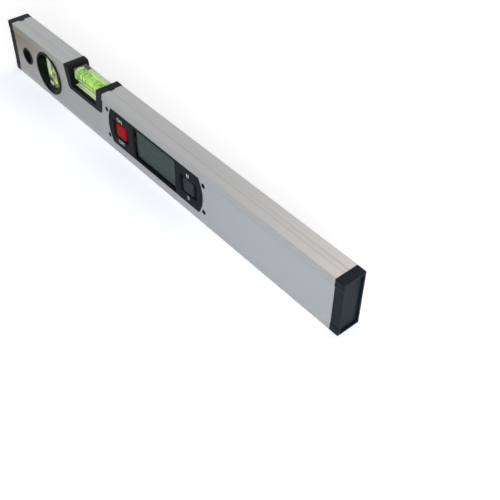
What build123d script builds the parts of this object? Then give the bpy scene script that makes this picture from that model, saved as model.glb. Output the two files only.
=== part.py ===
"""Digital spirit level: an aluminium box beam with two vials, an angle display and a battery bay.

Millimetres. +X runs along the beam to the battery end, the display faces -Y, +Z is up.
The origin is under the middle of the beam, on the measuring face.
"""
import os
from math import radians, tan

from build123d import *

# Beam extrusion
LENGTH = 400.0
HEIGHT = 46.0
DEPTH = 19.0
BAND = 7.0
WEB_RECESS = 0.4
WEB_SLOPE = 1.0
WALL = 1.5
FLANGE = 3.0
EDGE_RADIUS = 0.8
CHANNEL_WIDTH = 5.0
CHANNEL_DEPTH = 0.5
GROOVE_SIDE = 0.4
GROOVE_PITCH = 2.3

# Clearances
SLIP = 0.1
RUNNING_GAP = 0.3
PRESS_GAP = 0.1

# End caps
CAP_LENGTH = 7.5
CAP_RIM = 1.9
CAP_PANEL_DEPTH = 1.3
CAP_BEVEL = 0.5
SPIGOT_LENGTH = 10.0
SPIGOT_WALL = 1.6

# Hanging hole and its two-part bush
HANG_FROM_END = 26.0
HANG_BORE = 11.6
BUSH_WALL = 0.9
BUSH_FLANGE_WIDTH = 0.6
BUSH_FLANGE_THICK = 0.5

# Acrylic vials
VIAL_WIDE = 14.4
VIAL_THICK = 12.4
VIAL_EDGE_RADIUS = 0.4

# Plumb vial and its round holder
PLUMB_FROM_END = 60.5
RING_BORE = 33.0
RING_WALL = 1.0
RING_FLANGE_WIDTH = 0.9
RING_FLANGE_THICK = 0.9
RING_BEVEL = 0.4
PLUMB_VIAL_LENGTH = 28.4
PLUMB_BORE = 8.2
PLUMB_END_WALL = 3.0
PLUMB_PLUG_LENGTH = 3.2
PAD_SINK = 1.2
PAD_LIP = 1.2
PLUMB_BUBBLE_LENGTH = 7.0
PLUMB_BUBBLE_WIDTH = 5.0
PLUMB_BUBBLE_BEVEL = 0.8
PLUMB_LIQUID_FLOOR = 1.0

# Level vial and its saddle frame
SADDLE_FROM_END = 116.6
SADDLE_LENGTH = 54.8
SADDLE_SLANT = 11.0
SADDLE_DROP = 19.8
SADDLE_END = 7.8
SADDLE_PLUG_END = 6.6
SADDLE_PLUG_FOOT = 5.6
SADDLE_FLOOR = 3.6
SADDLE_CORNER_RADIUS = 3.0
SADDLE_LIP_RADIUS = 2.5
SADDLE_LIP_EDGE = 0.8
SADDLE_TONGUE_LENGTH = 30.0
SADDLE_TONGUE_DROP = 4.0
LEVEL_BORE = 7.2
LEVEL_BARREL = 0.2
LEVEL_BORE_RISE = 0.8
LEVEL_END_WALL = 1.2
LEVEL_PLUG_SEAT = 8.2
LEVEL_PLUG_LENGTH = 3.6
LEVEL_BUBBLE_LENGTH = 9.5
LEVEL_BUBBLE_WIDTH = 4.6
LEVEL_BUBBLE_TRAVEL = 6.5
LEVEL_SURFACE_RISE = 1.4

# Display fascia
DISPLAY_GAP = 10.1
FASCIA_LENGTH = 106.6
FASCIA_BOW = 4.6
FASCIA_HEIGHT = 30.8
FASCIA_PLATE = 1.8
FASCIA_BEVEL = 0.3
FASCIA_FLANGE_THICK = 1.8
FASCIA_FLANGE_MARGIN = 2.4
WINDOW_LENGTH = 51.8
WINDOW_HEIGHT = 27.4
WINDOW_SHIFT = 0.9
WINDOW_RADIUS = 0.8

# Display stack behind the window
PANE_MARGIN = 1.3
PANE_THICK = 1.2
LCD_GAP = 0.3
LCD_THICK = 2.5
BACKLIGHT_INSET = 2.0
BACKLIGHT_THICK = 2.4
BOARD_THICK = 1.6
BOARD_INSET = 0.5

# Keys, their finger wells and the switches under them
KEY_INSET = 11.5
WELL_LENGTH = 20.0
WELL_HEIGHT = 14.8
WELL_DEPTH = 2.2
WELL_RADIUS = 2.0
WELL_DRAFT = 8.0
KEY_LENGTH = 12.6
KEY_HEIGHT = 13.0
KEY_RADIUS = 2.6
KEY_SINK = 0.3
KEY_BEVEL = 0.8
KEY_LIP_WIDTH = 0.8
KEY_LIP_THICK = 1.0
KEY_TRAVEL = 0.8
SWITCH_SIDE = 6.0
SWITCH_HEIGHT = 1.6
PLUNGER_DIAMETER = 3.0

# Parts on the back of the board
SENSOR_SIDE = 12.0
SENSOR_HEIGHT = 4.5
SENSOR_RADIUS = 1.0
SENSOR_OFFSET = -14.0
CHIP_SIDE = 10.0
CHIP_HEIGHT = 1.4
CHIP_BEVEL = 0.3
CHIP_OFFSET = 14.0

# Countersunk screws and the bosses they bite into
SCREW_HEAD = 4.0
SCREW_SHANK = 2.2
SCREW_TIP_GAP = 0.6
BOSS_DIAMETER = 5.6
BOSS_END_WALL = 0.8
STAKE_DIAMETER = 2.6
STAKE_RISE = 0.6
DISPLAY_SCREW_OUTSET = 5.5
DISPLAY_SCREW_INSET = 3.6

# Cells and contacts
BATTERY_FROM_END = 53.0
CELL_DIAMETER = 10.5
CELL_LENGTH = 44.5
CELL_BEVEL = 0.4
CELL_GAP = 0.3
NUB_DIAMETER = 3.8
NUB_LENGTH = 1.0
CONTACT_THICK = 0.4
CONTACT_SIDE = 8.0
LEAF_RISE = 3.0
LEAF_SPAN = 7.0
LEAF_WIDTH = 5.0

# Battery box, door and latch
BOX_WALL = 1.6
BOX_BACK = 1.2
BOX_FLOOR_GAP = 0.4
BAY_RADIUS = 1.0
DOOR_LEDGE_X = 1.1
DOOR_LEDGE_Z = 1.0
DOOR_THICK = 2.3
DOOR_CORNER = 1.5
DOOR_BEVEL = 0.4
DOOR_GAP = 0.3
HOOK_WIDTH = 7.0
HOOK_SPREAD = 30.0
HOOK_ROOT = 2.7
HOOK_DROP = 1.4
HOOK_THICK = 1.1
HOOK_SWING = 0.9
LATCH_LENGTH = 18.0
LATCH_HEIGHT = 9.8
LATCH_CORNER = 2.5
LATCH_RIM = 2.2
LATCH_TOP_RIM = 1.6
LATCH_POCKET_DEPTH = 4.6
LATCH_BEVEL = 0.4
DOOR_TONGUE_LENGTH = 11.4
DOOR_TONGUE_THICK = 1.3
DOOR_TONGUE_ROOT = 2.2
DOOR_TONGUE_RISE = 4.2
RIDGE_HEIGHT = 2.5
RIDGE_RISE = 1.5
RIDGE_RADIUS = 0.5
EAR_THICK = 1.8
EAR_REACH = 3.6
TOP_SCREW_OUTSET = 3.9
TOP_SCREW_RISE = 4.0
SIDE_SCREW_OUTSET = 2.8
SIDE_SCREW_RISE = 6.2

# Beam places
FACE = DEPTH / 2
WEB = FACE - WEB_RECESS
INNER = WEB - WALL
MID = HEIGHT / 2
CAVITY_HEIGHT = HEIGHT - 2 * FLANGE
BEAM_LENGTH = LENGTH - 2 * CAP_LENGTH
HANG_X = HANG_FROM_END - LENGTH / 2
PLUMB_X = PLUMB_FROM_END - LENGTH / 2
SADDLE_X = SADDLE_FROM_END - LENGTH / 2
DISPLAY_X = SADDLE_X + SADDLE_LENGTH / 2 + DISPLAY_GAP + FASCIA_LENGTH / 2
BATTERY_X = LENGTH / 2 - BATTERY_FROM_END

# Bush, holder and vial places
BUSH_OUTER = HANG_BORE + 2 * BUSH_WALL
RING_OUTER = RING_BORE + 2 * RING_WALL
RING_FLANGE = RING_OUTER + 2 * RING_FLANGE_WIDTH
PLUMB_FOOT = MID - PLUMB_VIAL_LENGTH / 2
PLUMB_BORE_FOOT = PLUMB_FOOT + PLUMB_PLUG_LENGTH
PLUMB_BORE_LENGTH = PLUMB_VIAL_LENGTH - PLUMB_PLUG_LENGTH - PLUMB_END_WALL
PLUMB_BUBBLE_FOOT = PLUMB_BORE_FOOT + PLUMB_BORE_LENGTH - RUNNING_GAP - PLUMB_BUBBLE_LENGTH
SLOPE = tan(radians(SADDLE_SLANT))
SEAT_DROP = SADDLE_DROP - SADDLE_FLOOR
SEAT_Z = HEIGHT - SEAT_DROP
SEAT_OUTER = SADDLE_LENGTH / 2 - SLOPE * SEAT_DROP
SEAT_LEFT = SEAT_OUTER - SADDLE_PLUG_FOOT
SEAT_RIGHT = SEAT_OUTER - SADDLE_END
LEVEL_VIAL_LEFT = SADDLE_X - SEAT_LEFT + SLIP
LEVEL_VIAL_RIGHT = SADDLE_X + SEAT_RIGHT - SLIP
LEVEL_VIAL_OVERHANG = SLOPE * VIAL_WIDE
LEVEL_BORE_LEFT = LEVEL_VIAL_LEFT + LEVEL_PLUG_LENGTH
LEVEL_BORE_RIGHT = LEVEL_VIAL_RIGHT - LEVEL_END_WALL
LEVEL_BORE_RADIUS = LEVEL_BORE / 2
LEVEL_END_RADIUS = LEVEL_BORE_RADIUS - LEVEL_BARREL
LEVEL_VIAL_Z = SEAT_Z + SLIP + VIAL_WIDE / 2
LEVEL_BORE_Z = LEVEL_VIAL_Z + LEVEL_BORE_RISE
LEVEL_SURFACE_Z = LEVEL_BORE_Z + LEVEL_SURFACE_RISE

# Display places, from the front backwards
WINDOW_X = DISPLAY_X + WINDOW_SHIFT
PANE_FRONT = FASCIA_PLATE - FACE
PANE_LENGTH = WINDOW_LENGTH + 2 * PANE_MARGIN
PANE_HEIGHT = WINDOW_HEIGHT + 2 * PANE_MARGIN
PANE_BACK = PANE_FRONT + PANE_THICK
LCD_FRONT = PANE_BACK + LCD_GAP
BACKLIGHT_FRONT = LCD_FRONT + LCD_THICK
BOARD_FRONT = BACKLIGHT_FRONT + BACKLIGHT_THICK
BOARD_BACK = BOARD_FRONT + BOARD_THICK
FLANGE_BACK = FASCIA_FLANGE_THICK - INNER
SCREW_HALF_X = FASCIA_LENGTH / 2 + DISPLAY_SCREW_OUTSET
SCREW_HALF_Z = FASCIA_HEIGHT / 2 - DISPLAY_SCREW_INSET
PILOT_END = BOARD_FRONT - BOSS_END_WALL
SCREW_LENGTH = WEB + PILOT_END - SCREW_TIP_GAP
FLANGE_LENGTH = 2 * SCREW_HALF_X + BOSS_DIAMETER + FASCIA_FLANGE_MARGIN
FLANGE_HEIGHT = FASCIA_HEIGHT + 2 * FASCIA_FLANGE_MARGIN
KEY_HOLE_LENGTH = KEY_LENGTH + 2 * RUNNING_GAP
KEY_HOLE_HEIGHT = KEY_HEIGHT + 2 * RUNNING_GAP
KEY_LIP_FRONT = FLANGE_BACK + PRESS_GAP
KEY_BACK = KEY_LIP_FRONT + KEY_LIP_THICK
SWITCH_FRONT = BOARD_FRONT - SWITCH_HEIGHT
PLUNGER_FRONT = KEY_BACK + KEY_TRAVEL + PRESS_GAP
KEY_LEFT_X = DISPLAY_X - FASCIA_LENGTH / 2 + KEY_INSET
KEY_RIGHT_X = DISPLAY_X + FASCIA_LENGTH / 2 - KEY_INSET

# Battery places
CELL_PITCH = CELL_DIAMETER + 2 * CELL_GAP
BAY_LENGTH = CELL_LENGTH + 2 * CONTACT_THICK + LEAF_RISE + CELL_GAP
BAY_HEIGHT = 2 * CELL_PITCH
DOOR_LENGTH = BAY_LENGTH + 2 * DOOR_LEDGE_X
DOOR_HEIGHT = BAY_HEIGHT + 2 * DOOR_LEDGE_Z
BOX_LENGTH = DOOR_LENGTH + 2 * DOOR_GAP + 2 * BOX_WALL
BOX_HEIGHT = DOOR_HEIGHT + 2 * DOOR_GAP + 2 * BOX_WALL
DOOR_BOTTOM = FLANGE + BOX_FLOOR_GAP + BOX_WALL + DOOR_GAP
DOOR_MID = DOOR_BOTTOM + DOOR_HEIGHT / 2
DOOR_TOP = DOOR_BOTTOM + DOOR_HEIGHT
DOOR_BACK = FACE - DOOR_THICK
CELL_Y = DOOR_BACK - 2 * CELL_GAP - CELL_DIAMETER / 2
BAY_BACK = CELL_Y - CELL_DIAMETER / 2 - CELL_GAP
LATCH_MID = DOOR_TOP + DOOR_GAP + LATCH_HEIGHT / 2
LATCH_TOP = LATCH_MID + LATCH_HEIGHT / 2
POCKET_TOP = LATCH_TOP - LATCH_TOP_RIM
POCKET_BACK = FACE - LATCH_POCKET_DEPTH
TOP_SCREW_X = LATCH_LENGTH / 2 + TOP_SCREW_OUTSET
TOP_SCREW_Z = DOOR_TOP + TOP_SCREW_RISE
SIDE_SCREW_X = BATTERY_X + DOOR_LENGTH / 2 + SIDE_SCREW_OUTSET
SIDE_SCREW_Z = DOOR_BOTTOM + SIDE_SCREW_RISE

DISPLAY_SCREWS = [
    (DISPLAY_X - SCREW_HALF_X, MID - SCREW_HALF_Z),
    (DISPLAY_X - SCREW_HALF_X, MID + SCREW_HALF_Z),
    (DISPLAY_X + SCREW_HALF_X, MID - SCREW_HALF_Z),
    (DISPLAY_X + SCREW_HALF_X, MID + SCREW_HALF_Z),
]
BATTERY_SCREWS = [
    (BATTERY_X - TOP_SCREW_X, TOP_SCREW_Z),
    (BATTERY_X + TOP_SCREW_X, TOP_SCREW_Z),
    (SIDE_SCREW_X, SIDE_SCREW_Z),
]


def upright(x, y, z):
    """Plane that faces the front: sketch x is +X, sketch y is +Z, extrusions run towards -Y."""
    return Plane(origin=(x, y, z), x_dir=(1, 0, 0), z_dir=(0, -1, 0))


def endwise(x, y, z):
    """Plane across the beam: sketch x is +Y, sketch y is +Z, extrusions run towards +X."""
    return Plane(origin=(x, y, z), x_dir=(0, 1, 0), z_dir=(1, 0, 0))


def disc(plane, diameter, length, mode=Mode.ADD):
    """Round bar or hole that starts on a plane."""
    with BuildSketch(plane) as outline:
        Circle(diameter / 2)
    extrude(outline.sketch, amount=length, mode=mode)


def block(plane, size_x, size_y, length, radius, mode=Mode.ADD):
    """Bar or pocket with rounded corners that starts on a plane."""
    with BuildSketch(plane) as outline:
        RectangleRounded(size_x, size_y, radius)
    extrude(outline.sketch, amount=length, mode=mode)


def fascia_outline(grow):
    """Display outline: straight long edges and ends that bow outwards."""
    half = FASCIA_LENGTH / 2 + grow
    rise = FASCIA_HEIGHT / 2 + grow
    bow = half + FASCIA_BOW
    with BuildLine() as outline:
        Line((-half, rise), (half, rise))
        ThreePointArc((half, rise), (bow, 0), (half, -rise))
        Line((half, -rise), (-half, -rise))
        ThreePointArc((-half, -rise), (-bow, 0), (-half, rise))
    make_face(outline.edges())


def latch_outline(grow):
    """Surround of the finger recess: upper corners cut off, lower edge straight."""
    half = LATCH_LENGTH / 2 + grow
    rise = LATCH_HEIGHT / 2 + grow
    with BuildLine() as outline:
        Polyline(
            (-half, -rise),
            (half, -rise),
            (half, rise - LATCH_CORNER),
            (half - LATCH_CORNER, rise),
            (LATCH_CORNER - half, rise),
            (-half, rise - LATCH_CORNER),
            close=True,
        )
    make_face(outline.edges())


def screw(x, z, face, inward, length, grow=0.0, mode=Mode.ADD):
    """Countersunk screw, or the hole for one, that enters a side face of the beam."""
    head = SCREW_HEAD / 2 + grow
    shank = SCREW_SHANK / 2 + grow
    cone = inward * (head - shank)
    tip = inward * length
    with BuildSketch(Plane(origin=(x, face, z))) as outline:
        with BuildLine():
            Polyline((0, 0), (head, 0), (shank, cone), (shank, tip), (0, tip), close=True)
        make_face()
    revolve(outline.sketch, axis=Axis((x, face, z), (0, 1, 0)), mode=mode)


def web_recess(mode):
    """Shallow recess of both webs with sloped edges, in a section across the beam."""
    foot = MID - BAND
    lip = foot + WEB_SLOPE
    with Locations((-FACE, 0), (FACE, 0)):
        Polygon(
            (0, lip),
            (-WEB_RECESS, foot),
            (-WEB_RECESS, -foot),
            (0, -lip),
            (WEB_RECESS, -foot),
            (WEB_RECESS, foot),
            mode=mode,
        )


# Beam: one extruded section, then every cut-out
with BuildPart() as beam:
    with BuildSketch(endwise(-BEAM_LENGTH / 2, 0, MID)):
        RectangleRounded(DEPTH, HEIGHT, EDGE_RADIUS)
        Rectangle(2 * INNER, CAVITY_HEIGHT, mode=Mode.SUBTRACT)
        web_recess(Mode.SUBTRACT)
        edge = CHANNEL_WIDTH / 2
        floor = edge - CHANNEL_DEPTH
        with Locations((0, -MID), (0, MID)):
            Polygon(
                (-edge, 0),
                (-floor, -CHANNEL_DEPTH),
                (floor, -CHANNEL_DEPTH),
                (edge, 0),
                (floor, CHANNEL_DEPTH),
                (-floor, CHANNEL_DEPTH),
                mode=Mode.SUBTRACT,
            )
        for rise in (MID - GROOVE_PITCH, MID - 2 * GROOVE_PITCH):
            with Locations((-FACE, rise), (FACE, rise), (-FACE, -rise), (FACE, -rise)):
                Rectangle(GROOVE_SIDE, GROOVE_SIDE, rotation=45, mode=Mode.SUBTRACT)
    extrude(amount=BEAM_LENGTH)

    # Saddle notch in the top edge
    half = SADDLE_LENGTH / 2 + SLIP
    foot_half = half - SLOPE * SADDLE_DROP
    drop = SADDLE_DROP + SLIP
    with BuildSketch(upright(SADDLE_X, FACE, HEIGHT)):
        with BuildLine():
            Polyline((-half, 0), (half, 0), (foot_half, -drop), (-foot_half, -drop), close=True)
        make_face()
        fillet(vertices().group_by(Axis.Y)[0], SADDLE_CORNER_RADIUS)
    extrude(amount=DEPTH, mode=Mode.SUBTRACT)

    # Round holes through both webs, and spot faces for the plumb ring's flanges
    disc(upright(HANG_X, FACE, MID), BUSH_OUTER + 2 * SLIP, DEPTH, Mode.SUBTRACT)
    disc(upright(PLUMB_X, FACE, MID), RING_OUTER + 2 * SLIP, DEPTH, Mode.SUBTRACT)
    disc(upright(PLUMB_X, FACE, MID), RING_FLANGE + 2 * SLIP, WEB_RECESS, Mode.SUBTRACT)
    disc(upright(PLUMB_X, -WEB, MID), RING_FLANGE + 2 * SLIP, WEB_RECESS, Mode.SUBTRACT)

    # Display opening in the front web
    with BuildSketch(upright(DISPLAY_X, -INNER, MID)):
        fascia_outline(SLIP)
    extrude(amount=FACE - INNER, mode=Mode.SUBTRACT)

    # Door and latch openings in the back web
    block(
        upright(BATTERY_X, FACE, DOOR_MID),
        DOOR_LENGTH + 2 * DOOR_GAP,
        DOOR_HEIGHT + 2 * DOOR_GAP,
        FACE - INNER,
        DOOR_CORNER,
        Mode.SUBTRACT,
    )
    with BuildSketch(upright(BATTERY_X, FACE, LATCH_MID)):
        latch_outline(SLIP)
    extrude(amount=FACE - INNER, mode=Mode.SUBTRACT)

    for x, z in DISPLAY_SCREWS:
        screw(x, z, -WEB, 1, WALL, SLIP, Mode.SUBTRACT)
    for x, z in BATTERY_SCREWS:
        screw(x, z, WEB, -1, WALL, SLIP, Mode.SUBTRACT)


def end_cap():
    """Cap for the battery end: a flush block with a sunk end panel and a hollow spigot."""
    root = endwise(LENGTH / 2 - CAP_LENGTH, 0, MID)
    block(root, DEPTH, HEIGHT, CAP_LENGTH, EDGE_RADIUS)
    chamfer(faces().sort_by(Axis.X)[-1].edges(), CAP_BEVEL)
    with BuildSketch(root) as recess:
        web_recess(Mode.ADD)
    extrude(recess.sketch, amount=CAP_LENGTH, mode=Mode.SUBTRACT)
    block(
        endwise(LENGTH / 2 - CAP_PANEL_DEPTH, 0, MID),
        DEPTH - 2 * CAP_RIM,
        HEIGHT - 2 * CAP_RIM,
        CAP_PANEL_DEPTH,
        EDGE_RADIUS,
        Mode.SUBTRACT,
    )
    with BuildSketch(root) as spigot:
        Rectangle(2 * (INNER - SLIP), CAVITY_HEIGHT - 2 * SLIP)
        offset(amount=-SPIGOT_WALL, mode=Mode.SUBTRACT)
    extrude(spigot.sketch, amount=-SPIGOT_LENGTH)


with BuildPart() as end_cap_right:
    end_cap()

with BuildPart() as end_cap_left:
    end_cap()
    mirror(about=Plane.YZ, mode=Mode.REPLACE)


def hang_bush():
    """Front half of the bush that lines the hanging hole."""
    disc(upright(HANG_X, 0, MID), BUSH_OUTER, WEB)
    disc(upright(HANG_X, -WEB, MID), BUSH_OUTER + 2 * BUSH_FLANGE_WIDTH, BUSH_FLANGE_THICK)
    disc(upright(HANG_X, 0, MID), HANG_BORE, WEB + BUSH_FLANGE_THICK, Mode.SUBTRACT)


with BuildPart() as hang_bush_front:
    hang_bush()

with BuildPart() as hang_bush_back:
    hang_bush()
    mirror(about=Plane.XZ, mode=Mode.REPLACE)


def plumb_holder():
    """Front half of the round holder: sleeve, flange and two pads that take the vial's ends."""
    disc(upright(PLUMB_X, -WEB, MID), RING_FLANGE, RING_FLANGE_THICK)
    chamfer(faces().sort_by(Axis.Y)[0].edges(), RING_BEVEL)
    disc(upright(PLUMB_X, 0, MID), RING_OUTER, WEB)
    disc(upright(PLUMB_X, 0, MID), RING_BORE, WEB + RING_FLANGE_THICK, Mode.SUBTRACT)
    with BuildSketch(upright(PLUMB_X, 0, MID)) as pads:
        Circle(RING_BORE / 2 + RING_WALL / 2)
        Rectangle(2 * RING_OUTER, PLUMB_VIAL_LENGTH - 2 * PAD_SINK, mode=Mode.SUBTRACT)
    extrude(pads.sketch, amount=VIAL_THICK / 2 + PAD_LIP)
    with BuildSketch(upright(PLUMB_X, 0, MID)) as pockets:
        Rectangle(VIAL_WIDE + 2 * SLIP, PLUMB_VIAL_LENGTH + 2 * SLIP)
    extrude(pockets.sketch, amount=VIAL_THICK / 2 + SLIP, mode=Mode.SUBTRACT)


with BuildPart() as plumb_holder_front:
    plumb_holder()

with BuildPart() as plumb_holder_back:
    plumb_holder()
    mirror(about=Plane.XZ, mode=Mode.REPLACE)

# Plumb vial: an upright block, bored from below and closed by a plug
with BuildPart() as plumb_vial:
    foot = Plane(origin=(PLUMB_X, 0, PLUMB_FOOT))
    block(foot, VIAL_WIDE, VIAL_THICK, PLUMB_VIAL_LENGTH, VIAL_EDGE_RADIUS)
    disc(foot, PLUMB_BORE, PLUMB_PLUG_LENGTH + PLUMB_BORE_LENGTH, Mode.SUBTRACT)

with BuildPart() as plumb_vial_plug:
    disc(Plane(origin=(PLUMB_X, 0, PLUMB_FOOT)), PLUMB_BORE - 2 * SLIP, PLUMB_PLUG_LENGTH)

# Plumb liquid: a column with the bubble's path left free
with BuildPart() as plumb_vial_liquid:
    disc(Plane(origin=(PLUMB_X, 0, PLUMB_BORE_FOOT)), PLUMB_BORE - 2 * SLIP, PLUMB_BORE_LENGTH)
    disc(
        Plane(origin=(PLUMB_X, 0, PLUMB_BORE_FOOT + PLUMB_LIQUID_FLOOR)),
        PLUMB_BUBBLE_WIDTH + 2 * RUNNING_GAP,
        PLUMB_BORE_LENGTH - PLUMB_LIQUID_FLOOR,
        Mode.SUBTRACT,
    )

# Plumb bubble: at the top of its bore while the level lies flat
with BuildPart() as plumb_vial_bubble:
    disc(Plane(origin=(PLUMB_X, 0, PLUMB_BUBBLE_FOOT)), PLUMB_BUBBLE_WIDTH, PLUMB_BUBBLE_LENGTH)
    chamfer(edges().filter_by(GeomType.CIRCLE), PLUMB_BUBBLE_BEVEL)

# Saddle frame: open above, in front and behind, with slanted ends and a locating tongue
with BuildPart() as level_vial_frame:
    half = SADDLE_LENGTH / 2
    foot_half = half - SLOPE * SADDLE_DROP
    with BuildSketch(upright(SADDLE_X, FACE, HEIGHT)):
        with BuildLine():
            Polyline(
                (-half, 0),
                (SADDLE_PLUG_END - half, 0),
                (-SEAT_LEFT, -SEAT_DROP),
                (SEAT_RIGHT, -SEAT_DROP),
                (half - SADDLE_END, 0),
                (half, 0),
                (foot_half, -SADDLE_DROP),
                (-foot_half, -SADDLE_DROP),
                close=True,
            )
        make_face()
        fillet(vertices().group_by(Axis.Y)[0], SADDLE_CORNER_RADIUS)
        fillet(vertices().group_by(Axis.Y)[-1].sort_by(Axis.X)[2], SADDLE_LIP_EDGE)
        fillet(vertices().group_by(Axis.Y)[-1].sort_by(Axis.X)[1], SADDLE_LIP_RADIUS)
    extrude(amount=DEPTH)
    with BuildSketch(Plane(origin=(SADDLE_X, 0, HEIGHT - SADDLE_DROP))):
        Rectangle(SADDLE_TONGUE_LENGTH, 2 * (INNER - SLIP))
    extrude(amount=-SADDLE_TONGUE_DROP)

# Level vial: a lengthwise block on the saddle's floor, bored from the left and closed by a round plug
with BuildPart() as level_vial:
    block(
        endwise(LEVEL_VIAL_LEFT, 0, LEVEL_VIAL_Z),
        VIAL_THICK,
        VIAL_WIDE,
        LEVEL_VIAL_RIGHT + LEVEL_VIAL_OVERHANG - LEVEL_VIAL_LEFT,
        VIAL_EDGE_RADIUS,
    )
    disc(endwise(LEVEL_VIAL_LEFT, 0, LEVEL_BORE_Z), LEVEL_PLUG_SEAT, LEVEL_PLUG_LENGTH, Mode.SUBTRACT)

    # Right end on the slant of the saddle's wall
    with BuildSketch(upright(LEVEL_VIAL_RIGHT, VIAL_THICK / 2, LEVEL_VIAL_Z - VIAL_WIDE / 2)):
        Polygon((0, 0), (LEVEL_VIAL_OVERHANG, 0), (LEVEL_VIAL_OVERHANG, VIAL_WIDE), align=None)
    extrude(amount=VIAL_THICK, mode=Mode.SUBTRACT)

    # Barrel-shaped bore: widest in the middle, so that the bubble finds the top
    bore_middle = (LEVEL_BORE_LEFT + LEVEL_BORE_RIGHT) / 2
    left_edge = (LEVEL_BORE_LEFT, LEVEL_END_RADIUS)
    right_edge = (LEVEL_BORE_RIGHT, LEVEL_END_RADIUS)
    with BuildSketch(Plane.XY.offset(LEVEL_BORE_Z)):
        with BuildLine():
            ThreePointArc(left_edge, (bore_middle, LEVEL_BORE_RADIUS), right_edge)
            Polyline(right_edge, (LEVEL_BORE_RIGHT, 0), (LEVEL_BORE_LEFT, 0), left_edge)
        make_face()
    revolve(axis=Axis((0, 0, LEVEL_BORE_Z), (1, 0, 0)), mode=Mode.SUBTRACT)

with BuildPart() as level_vial_plug:
    disc(endwise(LEVEL_VIAL_LEFT, 0, LEVEL_BORE_Z), LEVEL_PLUG_SEAT - 2 * SLIP, LEVEL_PLUG_LENGTH)

# Level liquid: fills the bore, with the bubble's path left free along its top
with BuildPart() as level_vial_liquid:
    bore_length = LEVEL_BORE_RIGHT - LEVEL_BORE_LEFT
    disc(endwise(LEVEL_BORE_LEFT, 0, LEVEL_BORE_Z), 2 * (LEVEL_END_RADIUS - SLIP), bore_length)
    path_length = LEVEL_BUBBLE_LENGTH + 2 * LEVEL_BUBBLE_TRAVEL + 2 * RUNNING_GAP
    with BuildSketch(Plane(origin=(SADDLE_X, 0, LEVEL_SURFACE_Z - RUNNING_GAP))):
        Rectangle(path_length, LEVEL_BUBBLE_WIDTH + 2 * RUNNING_GAP)
    extrude(amount=LEVEL_BORE, mode=Mode.SUBTRACT)

# Level bubble: flat on the liquid, rounded along the top of the bore, with round ends
with BuildPart() as level_vial_bubble:
    with BuildSketch(Plane(origin=(SADDLE_X, 0, LEVEL_SURFACE_Z))):
        SlotOverall(LEVEL_BUBBLE_LENGTH, LEVEL_BUBBLE_WIDTH)
    extrude(amount=LEVEL_BORE)
    disc(
        endwise(SADDLE_X - LEVEL_BUBBLE_LENGTH / 2, 0, LEVEL_BORE_Z),
        2 * (LEVEL_END_RADIUS - RUNNING_GAP),
        LEVEL_BUBBLE_LENGTH,
        Mode.INTERSECT,
    )

# Display fascia: plate flush with the bands, on a flange behind the web that carries the board
with BuildPart() as display_fascia:
    with BuildSketch(upright(DISPLAY_X, -INNER, MID)):
        fascia_outline(0)
    extrude(amount=FACE - INNER)
    chamfer(faces().sort_by(Axis.Y)[0].edges(), FASCIA_BEVEL)
    block(
        upright(DISPLAY_X, FLANGE_BACK, MID),
        FLANGE_LENGTH,
        FLANGE_HEIGHT,
        FASCIA_FLANGE_THICK,
        BOSS_DIAMETER / 2,
    )
    for x, z in DISPLAY_SCREWS:
        disc(upright(x, BOARD_FRONT, z), BOSS_DIAMETER, BOARD_FRONT - FLANGE_BACK)
        disc(upright(x, BOARD_BACK + STAKE_RISE, z), STAKE_DIAMETER, BOARD_THICK + STAKE_RISE)
        disc(upright(x, PILOT_END, z), SCREW_SHANK + 2 * SLIP, PILOT_END + INNER, Mode.SUBTRACT)

    # Window, and the pocket behind it for the pane and the display glass
    with BuildSketch(upright(WINDOW_X, -FACE, MID)):
        RectangleRounded(WINDOW_LENGTH, WINDOW_HEIGHT, WINDOW_RADIUS)
    extrude(amount=-FASCIA_PLATE, mode=Mode.SUBTRACT)
    block(
        upright(WINDOW_X, FLANGE_BACK, MID),
        PANE_LENGTH + 2 * SLIP,
        PANE_HEIGHT + 2 * SLIP,
        FLANGE_BACK - PANE_FRONT,
        WINDOW_RADIUS,
        Mode.SUBTRACT,
    )

    # Finger wells with drafted sides, each with a hole for its key
    for x in (KEY_LEFT_X, KEY_RIGHT_X):
        with BuildSketch(upright(x, -FACE, MID)):
            RectangleRounded(WELL_LENGTH, WELL_HEIGHT, WELL_RADIUS)
        extrude(amount=-WELL_DEPTH, taper=WELL_DRAFT, mode=Mode.SUBTRACT)
        block(
            upright(x, FLANGE_BACK, MID),
            KEY_HOLE_LENGTH,
            KEY_HOLE_HEIGHT,
            FLANGE_BACK + FACE,
            KEY_RADIUS,
            Mode.SUBTRACT,
        )

with BuildPart() as display_window:
    block(upright(WINDOW_X, PANE_BACK, MID), PANE_LENGTH, PANE_HEIGHT, PANE_THICK, WINDOW_RADIUS)

with BuildPart() as lcd_panel:
    block(upright(WINDOW_X, BACKLIGHT_FRONT, MID), PANE_LENGTH, PANE_HEIGHT, LCD_THICK, WINDOW_RADIUS)

with BuildPart() as lcd_backlight:
    with BuildSketch(upright(WINDOW_X, BOARD_FRONT, MID)):
        Rectangle(PANE_LENGTH - 2 * BACKLIGHT_INSET, PANE_HEIGHT - 2 * BACKLIGHT_INSET)
    extrude(amount=BACKLIGHT_THICK)

with BuildPart() as circuit_board:
    with BuildSketch(upright(DISPLAY_X, BOARD_BACK, MID)):
        Rectangle(FLANGE_LENGTH - 2 * BOARD_INSET, FLANGE_HEIGHT - 2 * BOARD_INSET)
    extrude(amount=BOARD_THICK)
    for x, z in DISPLAY_SCREWS:
        disc(upright(x, BOARD_BACK, z), STAKE_DIAMETER + 2 * SLIP, BOARD_THICK, Mode.SUBTRACT)

with BuildPart() as tilt_sensor:
    sensor_back = upright(DISPLAY_X + SENSOR_OFFSET, BOARD_BACK + SENSOR_HEIGHT, MID)
    block(sensor_back, SENSOR_SIDE, SENSOR_SIDE, SENSOR_HEIGHT, SENSOR_RADIUS)

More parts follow.
